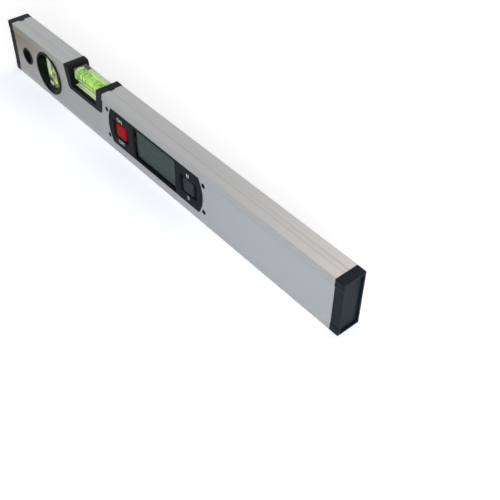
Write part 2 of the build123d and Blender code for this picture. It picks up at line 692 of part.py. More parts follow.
with BuildPart() as controller_chip:
    with BuildSketch(upright(DISPLAY_X + CHIP_OFFSET, BOARD_BACK + CHIP_HEIGHT, MID)):
        Rectangle(CHIP_SIDE, CHIP_SIDE)
    extrude(amount=CHIP_HEIGHT)
    chamfer(faces().sort_by(Axis.Y)[-1].edges(), CHIP_BEVEL)

with BuildPart() as button_switches:
    for x in (KEY_LEFT_X, KEY_RIGHT_X):
        with BuildSketch(upright(x, BOARD_FRONT, MID)):
            Rectangle(SWITCH_SIDE, SWITCH_SIDE)
        extrude(amount=SWITCH_HEIGHT)
        disc(upright(x, SWITCH_FRONT, MID), PLUNGER_DIAMETER, SWITCH_FRONT - PLUNGER_FRONT)


def key(x):
    """Key with a bevelled crown, kept in by a lip behind the fascia."""
    lip = 2 * (RUNNING_GAP + KEY_LIP_WIDTH)
    rise = KEY_LIP_FRONT + FACE - KEY_SINK
    block(upright(x, KEY_LIP_FRONT, MID), KEY_LENGTH, KEY_HEIGHT, rise, KEY_RADIUS)
    chamfer(faces().sort_by(Axis.Y)[0].edges(), KEY_BEVEL)
    block(upright(x, KEY_BACK, MID), KEY_LENGTH + lip, KEY_HEIGHT + lip, KEY_LIP_THICK, KEY_RADIUS)


with BuildPart() as on_off_button:
    key(KEY_LEFT_X)

with BuildPart() as hold_button:
    key(KEY_RIGHT_X)

with BuildPart() as display_screws:
    for x, z in DISPLAY_SCREWS:
        screw(x, z, -WEB, 1, SCREW_LENGTH)

# Battery box: bay for two cells behind the back web, with a latch recess that shows through it
with BuildPart() as battery_box:
    mouth = upright(BATTERY_X, INNER, DOOR_MID)
    block(mouth, BOX_LENGTH, BOX_HEIGHT, INNER - BAY_BACK + BOX_BACK, BOX_WALL)
    with BuildSketch(upright(BATTERY_X, INNER, LATCH_MID)):
        Rectangle(LATCH_LENGTH, LATCH_HEIGHT)
    extrude(amount=INNER - POCKET_BACK + BOX_BACK)
    with BuildSketch(upright(BATTERY_X, FACE, LATCH_MID)):
        latch_outline(0)
    extrude(amount=FACE - INNER)
    chamfer(faces().sort_by(Axis.Y)[-1].edges(), LATCH_BEVEL)

    # Ears and bosses for the screws
    with BuildSketch(upright(BATTERY_X, INNER, TOP_SCREW_Z)):
        RectangleRounded(2 * (TOP_SCREW_X + EAR_REACH), 2 * EAR_REACH, BAY_RADIUS)
    extrude(amount=EAR_THICK)
    with BuildSketch(upright(SIDE_SCREW_X, INNER, SIDE_SCREW_Z)):
        RectangleRounded(2 * EAR_REACH, 2 * EAR_REACH, BAY_RADIUS)
    extrude(amount=EAR_THICK)
    for x, z in BATTERY_SCREWS:
        disc(upright(x, INNER, z), BOSS_DIAMETER, SCREW_LENGTH + BOSS_END_WALL)

    # Bay, seat for the door, latch recess, hook slots and pilot holes
    block(mouth, BAY_LENGTH, BAY_HEIGHT, INNER - BAY_BACK, BAY_RADIUS, Mode.SUBTRACT)
    block(
        mouth,
        DOOR_LENGTH + 2 * DOOR_GAP,
        DOOR_HEIGHT + 2 * DOOR_GAP,
        INNER - DOOR_BACK + PRESS_GAP,
        DOOR_CORNER,
        Mode.SUBTRACT,
    )
    with BuildSketch(upright(BATTERY_X, FACE, POCKET_TOP)):
        Rectangle(LATCH_LENGTH - 2 * LATCH_RIM, POCKET_TOP - DOOR_MID, align=(Align.CENTER, Align.MAX))
    extrude(amount=LATCH_POCKET_DEPTH, mode=Mode.SUBTRACT)
    for side in (-1, 1):
        with BuildSketch(upright(BATTERY_X + side * HOOK_SPREAD / 2, INNER, DOOR_BOTTOM)):
            Rectangle(HOOK_WIDTH + 2 * RUNNING_GAP, DOOR_HEIGHT / 2)
        extrude(amount=INNER - DOOR_BACK + HOOK_THICK + HOOK_SWING, mode=Mode.SUBTRACT)
    for x, z in BATTERY_SCREWS:
        disc(upright(x, INNER, z), SCREW_SHANK + 2 * SLIP, SCREW_LENGTH, Mode.SUBTRACT)

# Battery door: flat plate with two hooks below and a latch tongue with a thumb ridge above
with BuildPart() as battery_door:
    block(upright(BATTERY_X, FACE, DOOR_MID), DOOR_LENGTH, DOOR_HEIGHT, DOOR_THICK, DOOR_CORNER)
    chamfer(faces().sort_by(Axis.Y)[-1].edges(), DOOR_BEVEL)
    for side in (-1, 1):
        hook_x = BATTERY_X + side * HOOK_SPREAD / 2
        with BuildSketch(upright(hook_x, DOOR_BACK, DOOR_BOTTOM - HOOK_DROP)):
            Rectangle(HOOK_WIDTH, HOOK_ROOT + HOOK_DROP, align=(Align.CENTER, Align.MIN))
        extrude(amount=HOOK_THICK)
    with BuildSketch(endwise(BATTERY_X, DOOR_BACK, DOOR_TOP)):
        with BuildLine():
            Polyline(
                (0, -DOOR_TONGUE_ROOT),
                (0, DOOR_TONGUE_RISE - RIDGE_HEIGHT),
                (RIDGE_RISE, DOOR_TONGUE_RISE - RIDGE_HEIGHT),
                (RIDGE_RISE, DOOR_TONGUE_RISE),
                (-DOOR_TONGUE_THICK, DOOR_TONGUE_RISE),
                (-DOOR_TONGUE_THICK, -DOOR_TONGUE_ROOT),
                close=True,
            )
        make_face()
        fillet(vertices().group_by(Axis.X)[-1], RIDGE_RADIUS)
    extrude(amount=DOOR_TONGUE_LENGTH / 2, both=True)

with BuildPart() as battery_screws:
    for x, z in BATTERY_SCREWS:
        screw(x, z, WEB, -1, SCREW_LENGTH)

# Cells: side by side, heads at opposite ends
with BuildPart() as batteries:
    shoulder = BAY_LENGTH / 2 - CONTACT_THICK - CELL_GAP / 2 - NUB_LENGTH
    for way in (-1, 1):
        head = endwise(BATTERY_X + way * shoulder, CELL_Y, DOOR_MID + way * CELL_PITCH / 2)
        disc(head, CELL_DIAMETER, way * (NUB_LENGTH - CELL_LENGTH))
    chamfer(edges().filter_by(GeomType.CIRCLE), CELL_BEVEL)
    for way in (-1, 1):
        head = endwise(BATTERY_X + way * shoulder, CELL_Y, DOOR_MID + way * CELL_PITCH / 2)
        disc(head, NUB_DIAMETER, way * NUB_LENGTH)

# Contacts: a plate at each end of each cell, with a bowed leaf against the flat end
with BuildPart() as battery_contacts:
    for row in (-1, 1):
        for end in (-1, 1):
            wall = BATTERY_X + end * BAY_LENGTH / 2
            root = wall - end * CONTACT_THICK
            z = DOOR_MID + row * CELL_PITCH / 2
            with BuildSketch(Plane(origin=((wall + root) / 2, CELL_Y, z))):
                Rectangle(CONTACT_THICK, CONTACT_SIDE)
            extrude(amount=CONTACT_SIDE / 2, both=True)
            if row != end:
                reach = -end * LEAF_RISE
                span = LEAF_SPAN / 2
                inside = span - CONTACT_THICK
                with BuildSketch(Plane(origin=(root, CELL_Y, z))):
                    with BuildLine():
                        ThreePointArc((0, -span), (reach, 0), (0, span))
                        Line((0, span), (0, inside))
                        ThreePointArc((0, inside), (reach + end * CONTACT_THICK, 0), (0, -inside))
                        Line((0, -inside), (0, -span))
                    make_face()
                extrude(amount=LEAF_WIDTH / 2, both=True)

PIECES = {
    "beam": beam,
    "end_cap_left": end_cap_left,
    "end_cap_right": end_cap_right,
    "hang_bush_front": hang_bush_front,
    "hang_bush_back": hang_bush_back,
    "plumb_holder_front": plumb_holder_front,
    "plumb_holder_back": plumb_holder_back,
    "plumb_vial": plumb_vial,
    "plumb_vial_plug": plumb_vial_plug,
    "plumb_vial_liquid": plumb_vial_liquid,
    "plumb_vial_bubble": plumb_vial_bubble,
    "level_vial_frame": level_vial_frame,
    "level_vial": level_vial,
    "level_vial_plug": level_vial_plug,
    "level_vial_liquid": level_vial_liquid,
    "level_vial_bubble": level_vial_bubble,
    "display_fascia": display_fascia,
    "display_window": display_window,
    "lcd_panel": lcd_panel,
    "lcd_backlight": lcd_backlight,
    "circuit_board": circuit_board,
    "tilt_sensor": tilt_sensor,
    "controller_chip": controller_chip,
    "button_switches": button_switches,
    "on_off_button": on_off_button,
    "hold_button": hold_button,
    "display_screws": display_screws,
    "battery_box": battery_box,
    "battery_door": battery_door,
    "battery_screws": battery_screws,
    "batteries": batteries,
    "battery_contacts": battery_contacts,
}

os.makedirs("parts", exist_ok=True)
for name, piece in PIECES.items():
    piece.part.label = name
    export_step(piece.part, f"parts/{name}.step")
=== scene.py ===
# %% [markdown]
# # A digital spirit level
#
# The level is an aluminium box beam, 400 mm long, with two green vials, an angle display with two
# keys and a battery door on the back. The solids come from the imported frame, already in place and
# in metres. This lesson gives each of them its finish, models the few pieces whose look the solids
# can't carry, such as the liquid in the vials, and lights the whole as a studio would.

# %% Load the frame
from math import cos, pi, radians, sin

import bmesh
import bpy
from mathutils import Matrix, Vector


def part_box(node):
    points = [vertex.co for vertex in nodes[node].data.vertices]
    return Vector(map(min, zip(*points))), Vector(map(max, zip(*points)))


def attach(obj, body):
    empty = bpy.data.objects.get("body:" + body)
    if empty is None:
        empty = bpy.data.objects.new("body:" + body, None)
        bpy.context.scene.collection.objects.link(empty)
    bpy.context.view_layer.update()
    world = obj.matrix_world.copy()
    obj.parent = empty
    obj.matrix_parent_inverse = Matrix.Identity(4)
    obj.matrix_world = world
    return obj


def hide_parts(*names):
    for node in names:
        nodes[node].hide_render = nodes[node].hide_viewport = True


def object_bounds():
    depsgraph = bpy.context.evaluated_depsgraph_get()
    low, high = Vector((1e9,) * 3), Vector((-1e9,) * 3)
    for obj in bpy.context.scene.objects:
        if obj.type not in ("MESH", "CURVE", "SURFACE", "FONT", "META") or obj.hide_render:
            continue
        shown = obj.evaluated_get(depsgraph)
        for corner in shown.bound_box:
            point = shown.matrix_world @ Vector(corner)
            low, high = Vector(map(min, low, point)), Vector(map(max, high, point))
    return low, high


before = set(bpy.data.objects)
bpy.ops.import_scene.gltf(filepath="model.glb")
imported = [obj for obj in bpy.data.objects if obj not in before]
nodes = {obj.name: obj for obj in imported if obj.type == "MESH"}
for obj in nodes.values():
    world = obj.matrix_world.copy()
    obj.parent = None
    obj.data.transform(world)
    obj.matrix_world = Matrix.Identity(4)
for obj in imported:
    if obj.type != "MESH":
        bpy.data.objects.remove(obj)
cad_low, cad_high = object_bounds()
MM = 0.001
print("nodes:", len(nodes), "box in mm:", [round(v / MM, 1) for v in (*cad_low, *cad_high)])

# %% [markdown]
# ## Helpers for colours and shader nodes
#
# Colours are easiest to read as sRGB hex values, but shaders work in linear light, so one function
# turns one into the other. A second one adds a node with its settings and links in a single call,
# so that each finish below reads as a short recipe from the pattern to the output. The Mix node has
# sockets of the same name for several kinds of data, so its sockets are called by number, and the
# numbers get names here. Noise seldom leaves its middle range, which is named too.

# %% Colour helper
def linear(hex_colour):
    """sRGB hex value as a linear colour with full alpha."""
    channels = [int(hex_colour[i:i + 2], 16) / 255 for i in (1, 3, 5)]
    return (*[c / 12.92 if c <= 0.04045 else ((c + 0.055) / 1.055) ** 2.4 for c in channels], 1.0)


print("white stays white:", linear("#ffffff"))

# %% Node helpers
SHARE = 0
COLOUR_A, COLOUR_B, COLOUR_OUT = 6, 7, 2
NUMBER_A, NUMBER_B, NUMBER_OUT = 2, 3, 0
NOISE_RANGE = {"From Min": 0.3, "From Max": 0.7}


def add(owner, kind, inputs=None, **settings):
    """One shader node: settings are properties, inputs are values or the sockets that feed it."""
    node = owner.node_tree.nodes.new(kind)
    for name, value in settings.items():
        setattr(node, name, value)
    for name, value in (inputs or {}).items():
        if isinstance(value, bpy.types.NodeSocket):
            owner.node_tree.links.new(value, node.inputs[name])
        else:
            node.inputs[name].default_value = value
    return node


def empty_finish(name):
    """Material with an empty node tree."""
    finish = bpy.data.materials.new(name)
    finish.use_nodes = True
    finish.node_tree.nodes.clear()
    return finish


def per_metre(size_mm):
    """Pattern scale that makes one cell of a texture as large as a size in millimetres."""
    return 1 / (size_mm * MM)


print("cells of 2 mm in a metre:", per_metre(2.0))

# %% [markdown]
# ## Camera
#
# The picture looks down at the display side from beyond the battery end. The place and the lens
# were worked out from the corners of the beam, so that the render lies over the picture. The lens
# is aimed without any shift, because a shift would stay on the camera when it is moved round the
# object.

# %% Camera
CAMERA_TARGET = Vector((118.5, -11.4, 15.1)) * MM
CAMERA_DISTANCE = 534.7 * MM
CAMERA_AZIMUTH = radians(48.68)
CAMERA_ELEVATION = radians(44.33)
CAMERA_ROLL = radians(1.19)
CAMERA_NEAR = 10.0 * MM
SENSOR_MM = 36.0
PICTURE_PIXELS = 500
FOCAL_PIXELS = 811.1

back = Vector((
    sin(CAMERA_AZIMUTH) * cos(CAMERA_ELEVATION),
    -cos(CAMERA_AZIMUTH) * cos(CAMERA_ELEVATION),
    sin(CAMERA_ELEVATION),
))
level_right = Vector((0, 0, 1)).cross(back).normalized()
level_up = back.cross(level_right)
right = level_right * cos(CAMERA_ROLL) + level_up * sin(CAMERA_ROLL)
up = level_up * cos(CAMERA_ROLL) - level_right * sin(CAMERA_ROLL)

camera_data = bpy.data.cameras.new("studio_camera")
camera_data.sensor_width = SENSOR_MM
camera_data.lens = SENSOR_MM * FOCAL_PIXELS / PICTURE_PIXELS
camera_data.clip_start = CAMERA_NEAR
camera = bpy.data.objects.new("studio_camera", camera_data)
camera_turn = Matrix((right, up, back)).transposed().to_4x4()
camera.matrix_world = Matrix.Translation(CAMERA_TARGET + back * CAMERA_DISTANCE) @ camera_turn
bpy.context.scene.collection.objects.link(camera)
bpy.context.scene.camera = camera
print("lens in mm:", round(camera_data.lens, 1))

# %% [markdown]
# ## Floor and surround
#
# The picture has a plain white ground. A white floor alone turns grey where the lamps are weak, so
# its material adds a little glow that only the camera, mirrors and glass see: the ground reads as
# white, the object is lit by no more than the lamps, and the soft shadow stays. The lamps fade away
# from the object, so the glow rises there and no grey band is left at the horizon. The surround
# works in the same way: white to the eye and in reflections, a quiet grey as a light.

# %% White paper
PAPER_GRAIN_MM = 2.0
FLOOR_GLOW = 0.38
FAR_GLOW = 0.66
GLOW_NEAR = 0.5
GLOW_FAR = 2.2


def seen_directly(owner):
    """Socket that is 1 for rays from the camera, a gloss or glass, and 0 for lighting rays."""
    path = add(owner, "ShaderNodeLightPath").outputs
    eye_or_gloss = add(owner, "ShaderNodeMath", {
        0: path["Is Camera Ray"], 1: path["Is Glossy Ray"]}, operation="MAXIMUM")
    return add(owner, "ShaderNodeMath", {
        0: eye_or_gloss.outputs[0], 1: path["Is Transmission Ray"]}, operation="MAXIMUM").outputs[0]


paper = empty_finish("white_paper_floor")
paper_place = add(paper, "ShaderNodeTexCoord").outputs["Object"]
paper_grain = add(paper, "ShaderNodeTexNoise", {
    "Vector": paper_place, "Scale": per_metre(PAPER_GRAIN_MM)})
paper_tone = add(paper, "ShaderNodeMix", {
    SHARE: paper_grain.outputs[0], COLOUR_A: linear("#f1f1f1"), COLOUR_B: linear("#f5f5f5")},
    data_type="RGBA")
paper_face = add(paper, "ShaderNodeBsdfDiffuse", {"Color": paper_tone.outputs[COLOUR_OUT]})
paper_reach = add(paper, "ShaderNodeVectorMath", {0: paper_place}, operation="LENGTH")
paper_rise = add(paper, "ShaderNodeMapRange", {
    "Value": paper_reach.outputs["Value"], "From Min": GLOW_NEAR, "From Max": GLOW_FAR,
    "To Min": FLOOR_GLOW, "To Max": FAR_GLOW})
paper_glow_strength = add(paper, "ShaderNodeMath", {
    0: seen_directly(paper), 1: paper_rise.outputs[0]}, operation="MULTIPLY")
paper_glow = add(paper, "ShaderNodeEmission", {"Strength": paper_glow_strength.outputs[0]})
paper_sum = add(paper, "ShaderNodeAddShader", {0: paper_face.outputs[0], 1: paper_glow.outputs[0]})
add(paper, "ShaderNodeOutputMaterial", {"Surface": paper_sum.outputs[0]})
print(paper.name, "nodes:", len(paper.node_tree.nodes))

# %% Floor
FLOOR_HALF = 4.0
FLOOR_DROP = 0.1 * MM


def from_shape(name, shape, finish):
    """Object with one finish, made from a bmesh that is freed."""
    mesh = bpy.data.meshes.new(name)
    shape.to_mesh(mesh)
    shape.free()
    made = bpy.data.objects.new(name, mesh)
    mesh.materials.append(finish)
    bpy.context.scene.collection.objects.link(made)
    return made


def stage_sheet(name, finish, place):
    """Flat sheet for the stage: a unit grid laid out by a matrix."""
    shape = bmesh.new()
    bmesh.ops.create_grid(shape, x_segments=1, y_segments=1, size=1.0, matrix=place)
    return from_shape(name, shape, finish)


floor = stage_sheet("floor", paper, Matrix.Translation((0, 0, cad_low.z - FLOOR_DROP))
                    @ Matrix.Diagonal((FLOOR_HALF, FLOOR_HALF, 1, 1)))
print("floor in metres:", 2 * FLOOR_HALF)

# %% Surround
AMBIENT = 0.45

surround = bpy.data.worlds.new("studio_surround")
surround.use_nodes = True
surround.node_tree.nodes.clear()
quiet = add(surround, "ShaderNodeBackground", {"Color": linear("#fbfcff"), "Strength": AMBIENT})
white = add(surround, "ShaderNodeBackground", {"Color": linear("#ffffff"), "Strength": 1.0})
both = add(surround, "ShaderNodeMixShader", {
    0: seen_directly(surround), 1: quiet.outputs[0], 2: white.outputs[0]})
add(surround, "ShaderNodeOutputWorld", {"Surface": both.outputs[0]})
bpy.context.scene.world = surround
bpy.context.scene.view_settings.view_transform = "Standard"
print(surround.name, "as a light:", AMBIENT)

# %% [markdown]
# ## Softboxes
#
# Two large lamps give soft light, as white cloth in front of a flash does. The cool one stands on
# the right, beyond the near end, and lights the display side and the near cap. The weaker, warm one
# stands behind and above, and gives the top of the beam its own tone, so that the edge between the
# two faces reads clearly. The size of the lamps sets how soft the shadows are.

# %% Softboxes
def softbox(name, place, aim, width, height, watts, colour):
    """Rectangular area lamp that looks from a place towards an aim, in metres."""
    data = bpy.data.lights.new(name, "AREA")
    data.shape = "RECTANGLE"
    data.size = width
    data.size_y = height
    data.energy = watts
    data.color = linear(colour)[:3]
    lamp = bpy.data.objects.new(name, data)
    lamp.location = place
    lamp.rotation_euler = (Vector(aim) - Vector(place)).to_track_quat("-Z", "Y").to_euler()
    bpy.context.scene.collection.objects.link(lamp)


softbox("softbox_right", place=(1.3, -0.7, 0.6), aim=(0.15, 0.0, 0.02),
        width=1.0, height=0.8, watts=23.0, colour="#e2f1ff")
softbox("softbox_back", place=(-0.1, 1.1, 1.35), aim=(0.1, 0.0, 0.02),
        width=1.3, height=1.0, watts=5.5, colour="#ffe6d8")

# %% [markdown]
# ## A warm card
#
# Satin metal shows what lies in front of it. In the picture the far end of the beam mirrors
# something warm and dim, while the near end mirrors white. A brown card on the floor before the far
# end does the same. Only reflections see it, so it adds no shadow and no colour to the floor, and
# it fades out towards the display.

# %% Brown card finish
CARD_SOLID_X, CARD_END_X = -0.24, -0.155
CARD_TAIL = 0.16
CARD_TAIL_X, CARD_TAIL_END_X = -0.09, -0.05
CARD_SOLID_Y, CARD_EDGE_Y = -0.04, -0.012
CARD_EDGE_COVER = 0.25

brown = empty_finish("brown_card")
card_place = add(brown, "ShaderNodeTexCoord").outputs["Object"]
card_axes = add(brown, "ShaderNodeSeparateXYZ", {0: card_place}).outputs
card_along, card_tail, card_across = [
    add(brown, "ShaderNodeMapRange", {
        "Value": card_axes[axis], "From Min": start, "From Max": end,
        "To Min": cover, "To Max": rest}).outputs[0]
    for axis, start, end, cover, rest in (
        ("X", CARD_SOLID_X, CARD_END_X, 1.0, 0.0),
        ("X", CARD_TAIL_X, CARD_TAIL_END_X, CARD_TAIL, 0.0),
        ("Y", CARD_SOLID_Y, CARD_EDGE_Y, 1.0, CARD_EDGE_COVER))]
card_main = add(brown, "ShaderNodeMath", {0: card_along, 1: card_across}, operation="MULTIPLY")
card_cover = add(brown, "ShaderNodeMath", {
    0: card_main.outputs[0], 1: card_tail}, operation="MAXIMUM")
card_gap = add(brown, "ShaderNodeBsdfTransparent")
card_tone = add(brown, "ShaderNodeEmission", {"Color": linear("#a08862")})
card_mix = add(brown, "ShaderNodeMixShader", {
    0: card_cover.outputs[0], 1: card_gap.outputs[0], 2: card_tone.outputs[0]})
add(brown, "ShaderNodeOutputMaterial", {"Surface": card_mix.outputs[0]})
print(brown.name, "nodes:", len(brown.node_tree.nodes))

# %% Warm card
CARD_HALF = Vector((0.16, 0.06))
CARD_PLACE = Vector((-0.2, -0.072, 0.3 * MM))

card = stage_sheet("warm_card", brown, Matrix.Translation(CARD_PLACE)
                   @ Matrix.Diagonal((CARD_HALF.x, CARD_HALF.y, 1, 1)))
card.visible_camera = False
card.visible_diffuse = False
card.visible_transmission = False
card.visible_shadow = False
print("card in mm:", [round(2 * half / MM) for half in CARD_HALF])

# %% [markdown]
# ## Anodised aluminium
#
# The beam is an extrusion, satin-etched and then clear anodised. Extruding leaves faint lines along
# the beam, and the etch leaves a fine matt grain that spreads reflections. A noise stretched along
# X gives the lines, a round one gives the grain. Both are finer on the real beam than a picture can
# show, so they are drawn about three times as coarse. A painted highlight makes the sloped sides of
# the shallow channels a little brighter, and a painted shadow darkens the channel floor at the foot
# of the front slope.

# %% Aluminium recipe
DRAW_LINE_MM = (90.0, 0.9, 0.9)
ETCH_GRAIN_MM = 0.55
SATIN_LOW, SATIN_HIGH = 0.36, 0.46
METAL_BUMP = {"Strength": 0.25, "Distance": 0.02 * MM}
# Painted highlight on the channel's slopes, painted shadow on the floor at the front slope's foot
CHANNEL_EDGE = 2.5 * MM
CHANNEL_FOOT = 2.0 * MM
CHANNEL_SHADOW_WIDTH = 0.9 * MM
SLOPE_HIGHLIGHT = 1.15
FOOT_SHADOW = 0.9


def channel_painted_light(finish, place):
    """Painted highlight on the channel's slopes and painted shadow at the front slope's foot."""
    across = add(finish, "ShaderNodeSeparateXYZ", {0: place}).outputs["Y"]
    away = add(finish, "ShaderNodeMath", {0: across}, operation="ABSOLUTE")
    # Painted highlight: both sloped sides of the channel are brightened
    slope = add(finish, "ShaderNodeMath", {
        0: away.outputs[0], 1: (CHANNEL_EDGE + CHANNEL_FOOT) / 2,
        2: (CHANNEL_EDGE - CHANNEL_FOOT) / 2}, operation="COMPARE")
    # Painted shadow: the channel floor along the foot of the front slope is darkened
    corner = add(finish, "ShaderNodeMath", {
        0: across, 1: -CHANNEL_FOOT + CHANNEL_SHADOW_WIDTH / 2, 2: CHANNEL_SHADOW_WIDTH / 2}, operation="COMPARE")
    lit_slopes = add(finish, "ShaderNodeMath", {
        0: slope.outputs[0], 1: SLOPE_HIGHLIGHT - 1, 2: 1.0}, operation="MULTIPLY_ADD")
    return add(finish, "ShaderNodeMath", {
        0: corner.outputs[0], 1: FOOT_SHADOW - 1, 2: lit_slopes.outputs[0]},
        operation="MULTIPLY_ADD").outputs[0]


def anodised_aluminium():
    """Silver, satin, with lines along the beam."""
    finish = empty_finish("anodised_aluminium_extruded")
    place = add(finish, "ShaderNodeTexCoord").outputs["Object"]
    along = add(finish, "ShaderNodeMapping", {
        "Vector": place, "Scale": [per_metre(size) for size in DRAW_LINE_MM]})
    lines = add(finish, "ShaderNodeTexNoise", {
        "Vector": along.outputs[0], "Scale": 1.0, "Detail": 3.0})
    grain = add(finish, "ShaderNodeTexNoise", {
        "Vector": place, "Scale": per_metre(ETCH_GRAIN_MM), "Detail": 2.0})
    tone = add(finish, "ShaderNodeMix", {
        SHARE: lines.outputs[0], COLOUR_A: linear("#a0a2a3"), COLOUR_B: linear("#b0b1b1")},
        data_type="RGBA")
    # The tone carries the channel's painted highlight and painted shadow
    painted_light_tone = add(finish, "ShaderNodeVectorMath", {
        0: tone.outputs[COLOUR_OUT], "Scale": channel_painted_light(finish, place)}, operation="SCALE")
    matt = add(finish, "ShaderNodeMapRange", {
        "Value": grain.outputs[0], **NOISE_RANGE, "To Min": SATIN_LOW, "To Max": SATIN_HIGH})
    line_bump = add(finish, "ShaderNodeBump", {"Height": lines.outputs[0], **METAL_BUMP})
    grain_bump = add(finish, "ShaderNodeBump", {
        "Height": grain.outputs[0], "Normal": line_bump.outputs[0], **METAL_BUMP})
    metal = add(finish, "ShaderNodeBsdfPrincipled", {
        "Base Color": painted_light_tone.outputs[0], "Roughness": matt.outputs[0],
        "Normal": grain_bump.outputs[0], "Metallic": 1.0})
    add(finish, "ShaderNodeOutputMaterial", {"Surface": metal.outputs[0]})
    return finish


# %% Aluminium
# Etched and anodised: a soft silver sheen, with faint lines along the beam
aluminium = anodised_aluminium()
print(aluminium.name, "nodes:", len(aluminium.node_tree.nodes))

# %% [markdown]
# ## Moulded plastics
#
# Caps, saddle, rings, bushes, fascia, door and keys are ABS from a spark-eroded mould, which prints
# a fine leather-like grain on the plastic. One recipe serves them all: two close tones, a grain of
# a few tenths of a millimetre as bump, and a roughness that varies with the grain. The rings also
# have a polished bore, so near the beam's middle plane the recipe can swap the grain for a gloss.

# %% Plastic recipe
ABS_INDEX = 1.53
FLOW_MM = 14.0
MOULD_SPREAD = 0.06
MOULD_BUMP = 0.5
POLISHED = 0.16
COAT_ROUGHNESS = 0.06


def moulded_abs(name, dark, light, roughness, grain_mm, depth_mm, gloss, polished_inside=None):
    """Moulded ABS between two tones with a grain, polished near the middle plane if asked."""
    finish = empty_finish(name)
    place = add(finish, "ShaderNodeTexCoord").outputs["Object"]
    grain = add(finish, "ShaderNodeTexNoise", {
        "Vector": place, "Scale": per_metre(grain_mm), "Detail": 2.0})
    flow = add(finish, "ShaderNodeTexNoise", {
        "Vector": place, "Scale": per_metre(FLOW_MM), "Detail": 2.0})
    tone = add(finish, "ShaderNodeMix", {
        SHARE: flow.outputs[0], COLOUR_A: linear(dark), COLOUR_B: linear(light)}, data_type="RGBA")
    matt = add(finish, "ShaderNodeMapRange", {
        "Value": grain.outputs[0], **NOISE_RANGE,
        "To Min": roughness - MOULD_SPREAD, "To Max": roughness + MOULD_SPREAD})
    height, rough, coat = grain.outputs[0], matt.outputs[0], 0.0
    if polished_inside:
        across = add(finish, "ShaderNodeSeparateXYZ", {0: place}).outputs["Y"]
        away = add(finish, "ShaderNodeMath", {0: across}, operation="ABSOLUTE")
        outside = add(finish, "ShaderNodeMath", {
            0: away.outputs[0], 1: polished_inside}, operation="GREATER_THAN").outputs[0]
        height = add(finish, "ShaderNodeMath", {
            0: height, 1: outside}, operation="MULTIPLY").outputs[0]
        rough = add(finish, "ShaderNodeMix", {
            SHARE: outside, NUMBER_A: POLISHED, NUMBER_B: rough}).outputs[NUMBER_OUT]
        coat = add(finish, "ShaderNodeMath", {
            0: 1.0, 1: outside}, operation="SUBTRACT").outputs[0]
    bump = add(finish, "ShaderNodeBump", {
        "Height": height, "Strength": MOULD_BUMP, "Distance": depth_mm * MM})
    plastic = add(finish, "ShaderNodeBsdfPrincipled", {
        "Base Color": tone.outputs[COLOUR_OUT], "Roughness": rough, "Normal": bump.outputs[0],
        "IOR": ABS_INDEX, "Specular IOR Level": gloss, "Coat Weight": coat,
        "Coat Roughness": COAT_ROUGHNESS})
    add(finish, "ShaderNodeOutputMaterial", {"Surface": plastic.outputs[0]})
    return finish


# %% Black plastics
RING_BORE_HALF = 9.0 * MM
SPARK_ERODED = {"roughness": 0.5, "grain_mm": 0.5, "depth_mm": 0.03}

# Spark-eroded mould: the caps look deep black with a hint of blue and stay dull under the lamps
black_abs = moulded_abs("abs_black_moulded", "#0b151b", "#111c22", **SPARK_ERODED, gloss=0.09)

# The same mould texture in a darker batch: saddle and bushes swallow the light
saddle_abs = moulded_abs("abs_black_saddle_moulded", "#0d1011", "#121616",
                         **SPARK_ERODED, gloss=0.08)

# Textured rim and polished bore: the ring's inside mirrors the vial faintly
ring_abs = moulded_abs("abs_black_ring_polished_bore", "#0f1213", "#141818",
                       **SPARK_ERODED, gloss=0.1, polished_inside=RING_BORE_HALF)

# Finer texture: the door has a slight sheen where light grazes it
door_abs = moulded_abs("abs_black_door_moulded", "#0f1111", "#141616",
                       roughness=0.42, grain_mm=0.5, depth_mm=0.02, gloss=0.12)
print("black plastics:", [m.name for m in (black_abs, saddle_abs, ring_abs, door_abs)])

# %% Fascia and key plastics
KEY_TEXTURE = {"roughness": 0.42, "grain_mm": 0.6, "depth_mm": 0.015}

# Fine texture: an even charcoal face that lets the display stand out
fascia_abs = moulded_abs("abs_fascia_moulded", "#1d1f1f", "#222424",
                         roughness=0.48, grain_mm=0.5, depth_mm=0.02, gloss=0.02)

# Coloured through before moulding: a full red and a cool grey, soft at the edges
red_abs = moulded_abs("abs_red_moulded", "#960511", "#a30915", **KEY_TEXTURE, gloss=0.03)
grey_abs = moulded_abs("abs_grey_moulded", "#151b1e", "#1c2326", **KEY_TEXTURE, gloss=0.1)
print("display plastics:", [m.name for m in (fascia_abs, red_abs, grey_abs)])

# %% [markdown]
# ## Clear pieces
#
# Light meets three media in a vial: acrylic, dyed spirit and air. The acrylic block is the bored
# solid from the frame. The liquid is modelled a hair larger than the bore, so that no film of air
# lies between the two: light then bends as it does between acrylic and spirit. The air of the
# bubble is seen from inside the liquid, so its index is that of air divided by that of the spirit.
# The dye takes more out of the light the further it runs through the spirit, so it is an absorbing
# volume. The spirit glows too: partly as such dyes do by daylight, partly as painted light that
# stands in for light that the block bends into the vial. The level block lies on a ground foot,
# which is why it looks milky from above, and the foot has a faint painted glow. Its plug end is
# cemented to the black saddle, so that end looks black from inside the block, and the clear plug in
# it has a pale outer end with a painted glow. Within a thin band at these faces the finish stops
# being clear.

# %% Clear recipe
ACRYLIC_INDEX = 1.49
FACE_BAND = 0.05 * MM
CEMENT_BLACK = "#0b0d0d"
# Painted glow on the ground foot of the block
FOOT_GLOW = 0.12
END_ROUGHNESS = 1.0
# Glow colour of the spirit: partly the dye's own glow, partly painted light
DYE_AND_FILL_GLOW = "#70cc26"
DYE_PER_METRE = 220.0


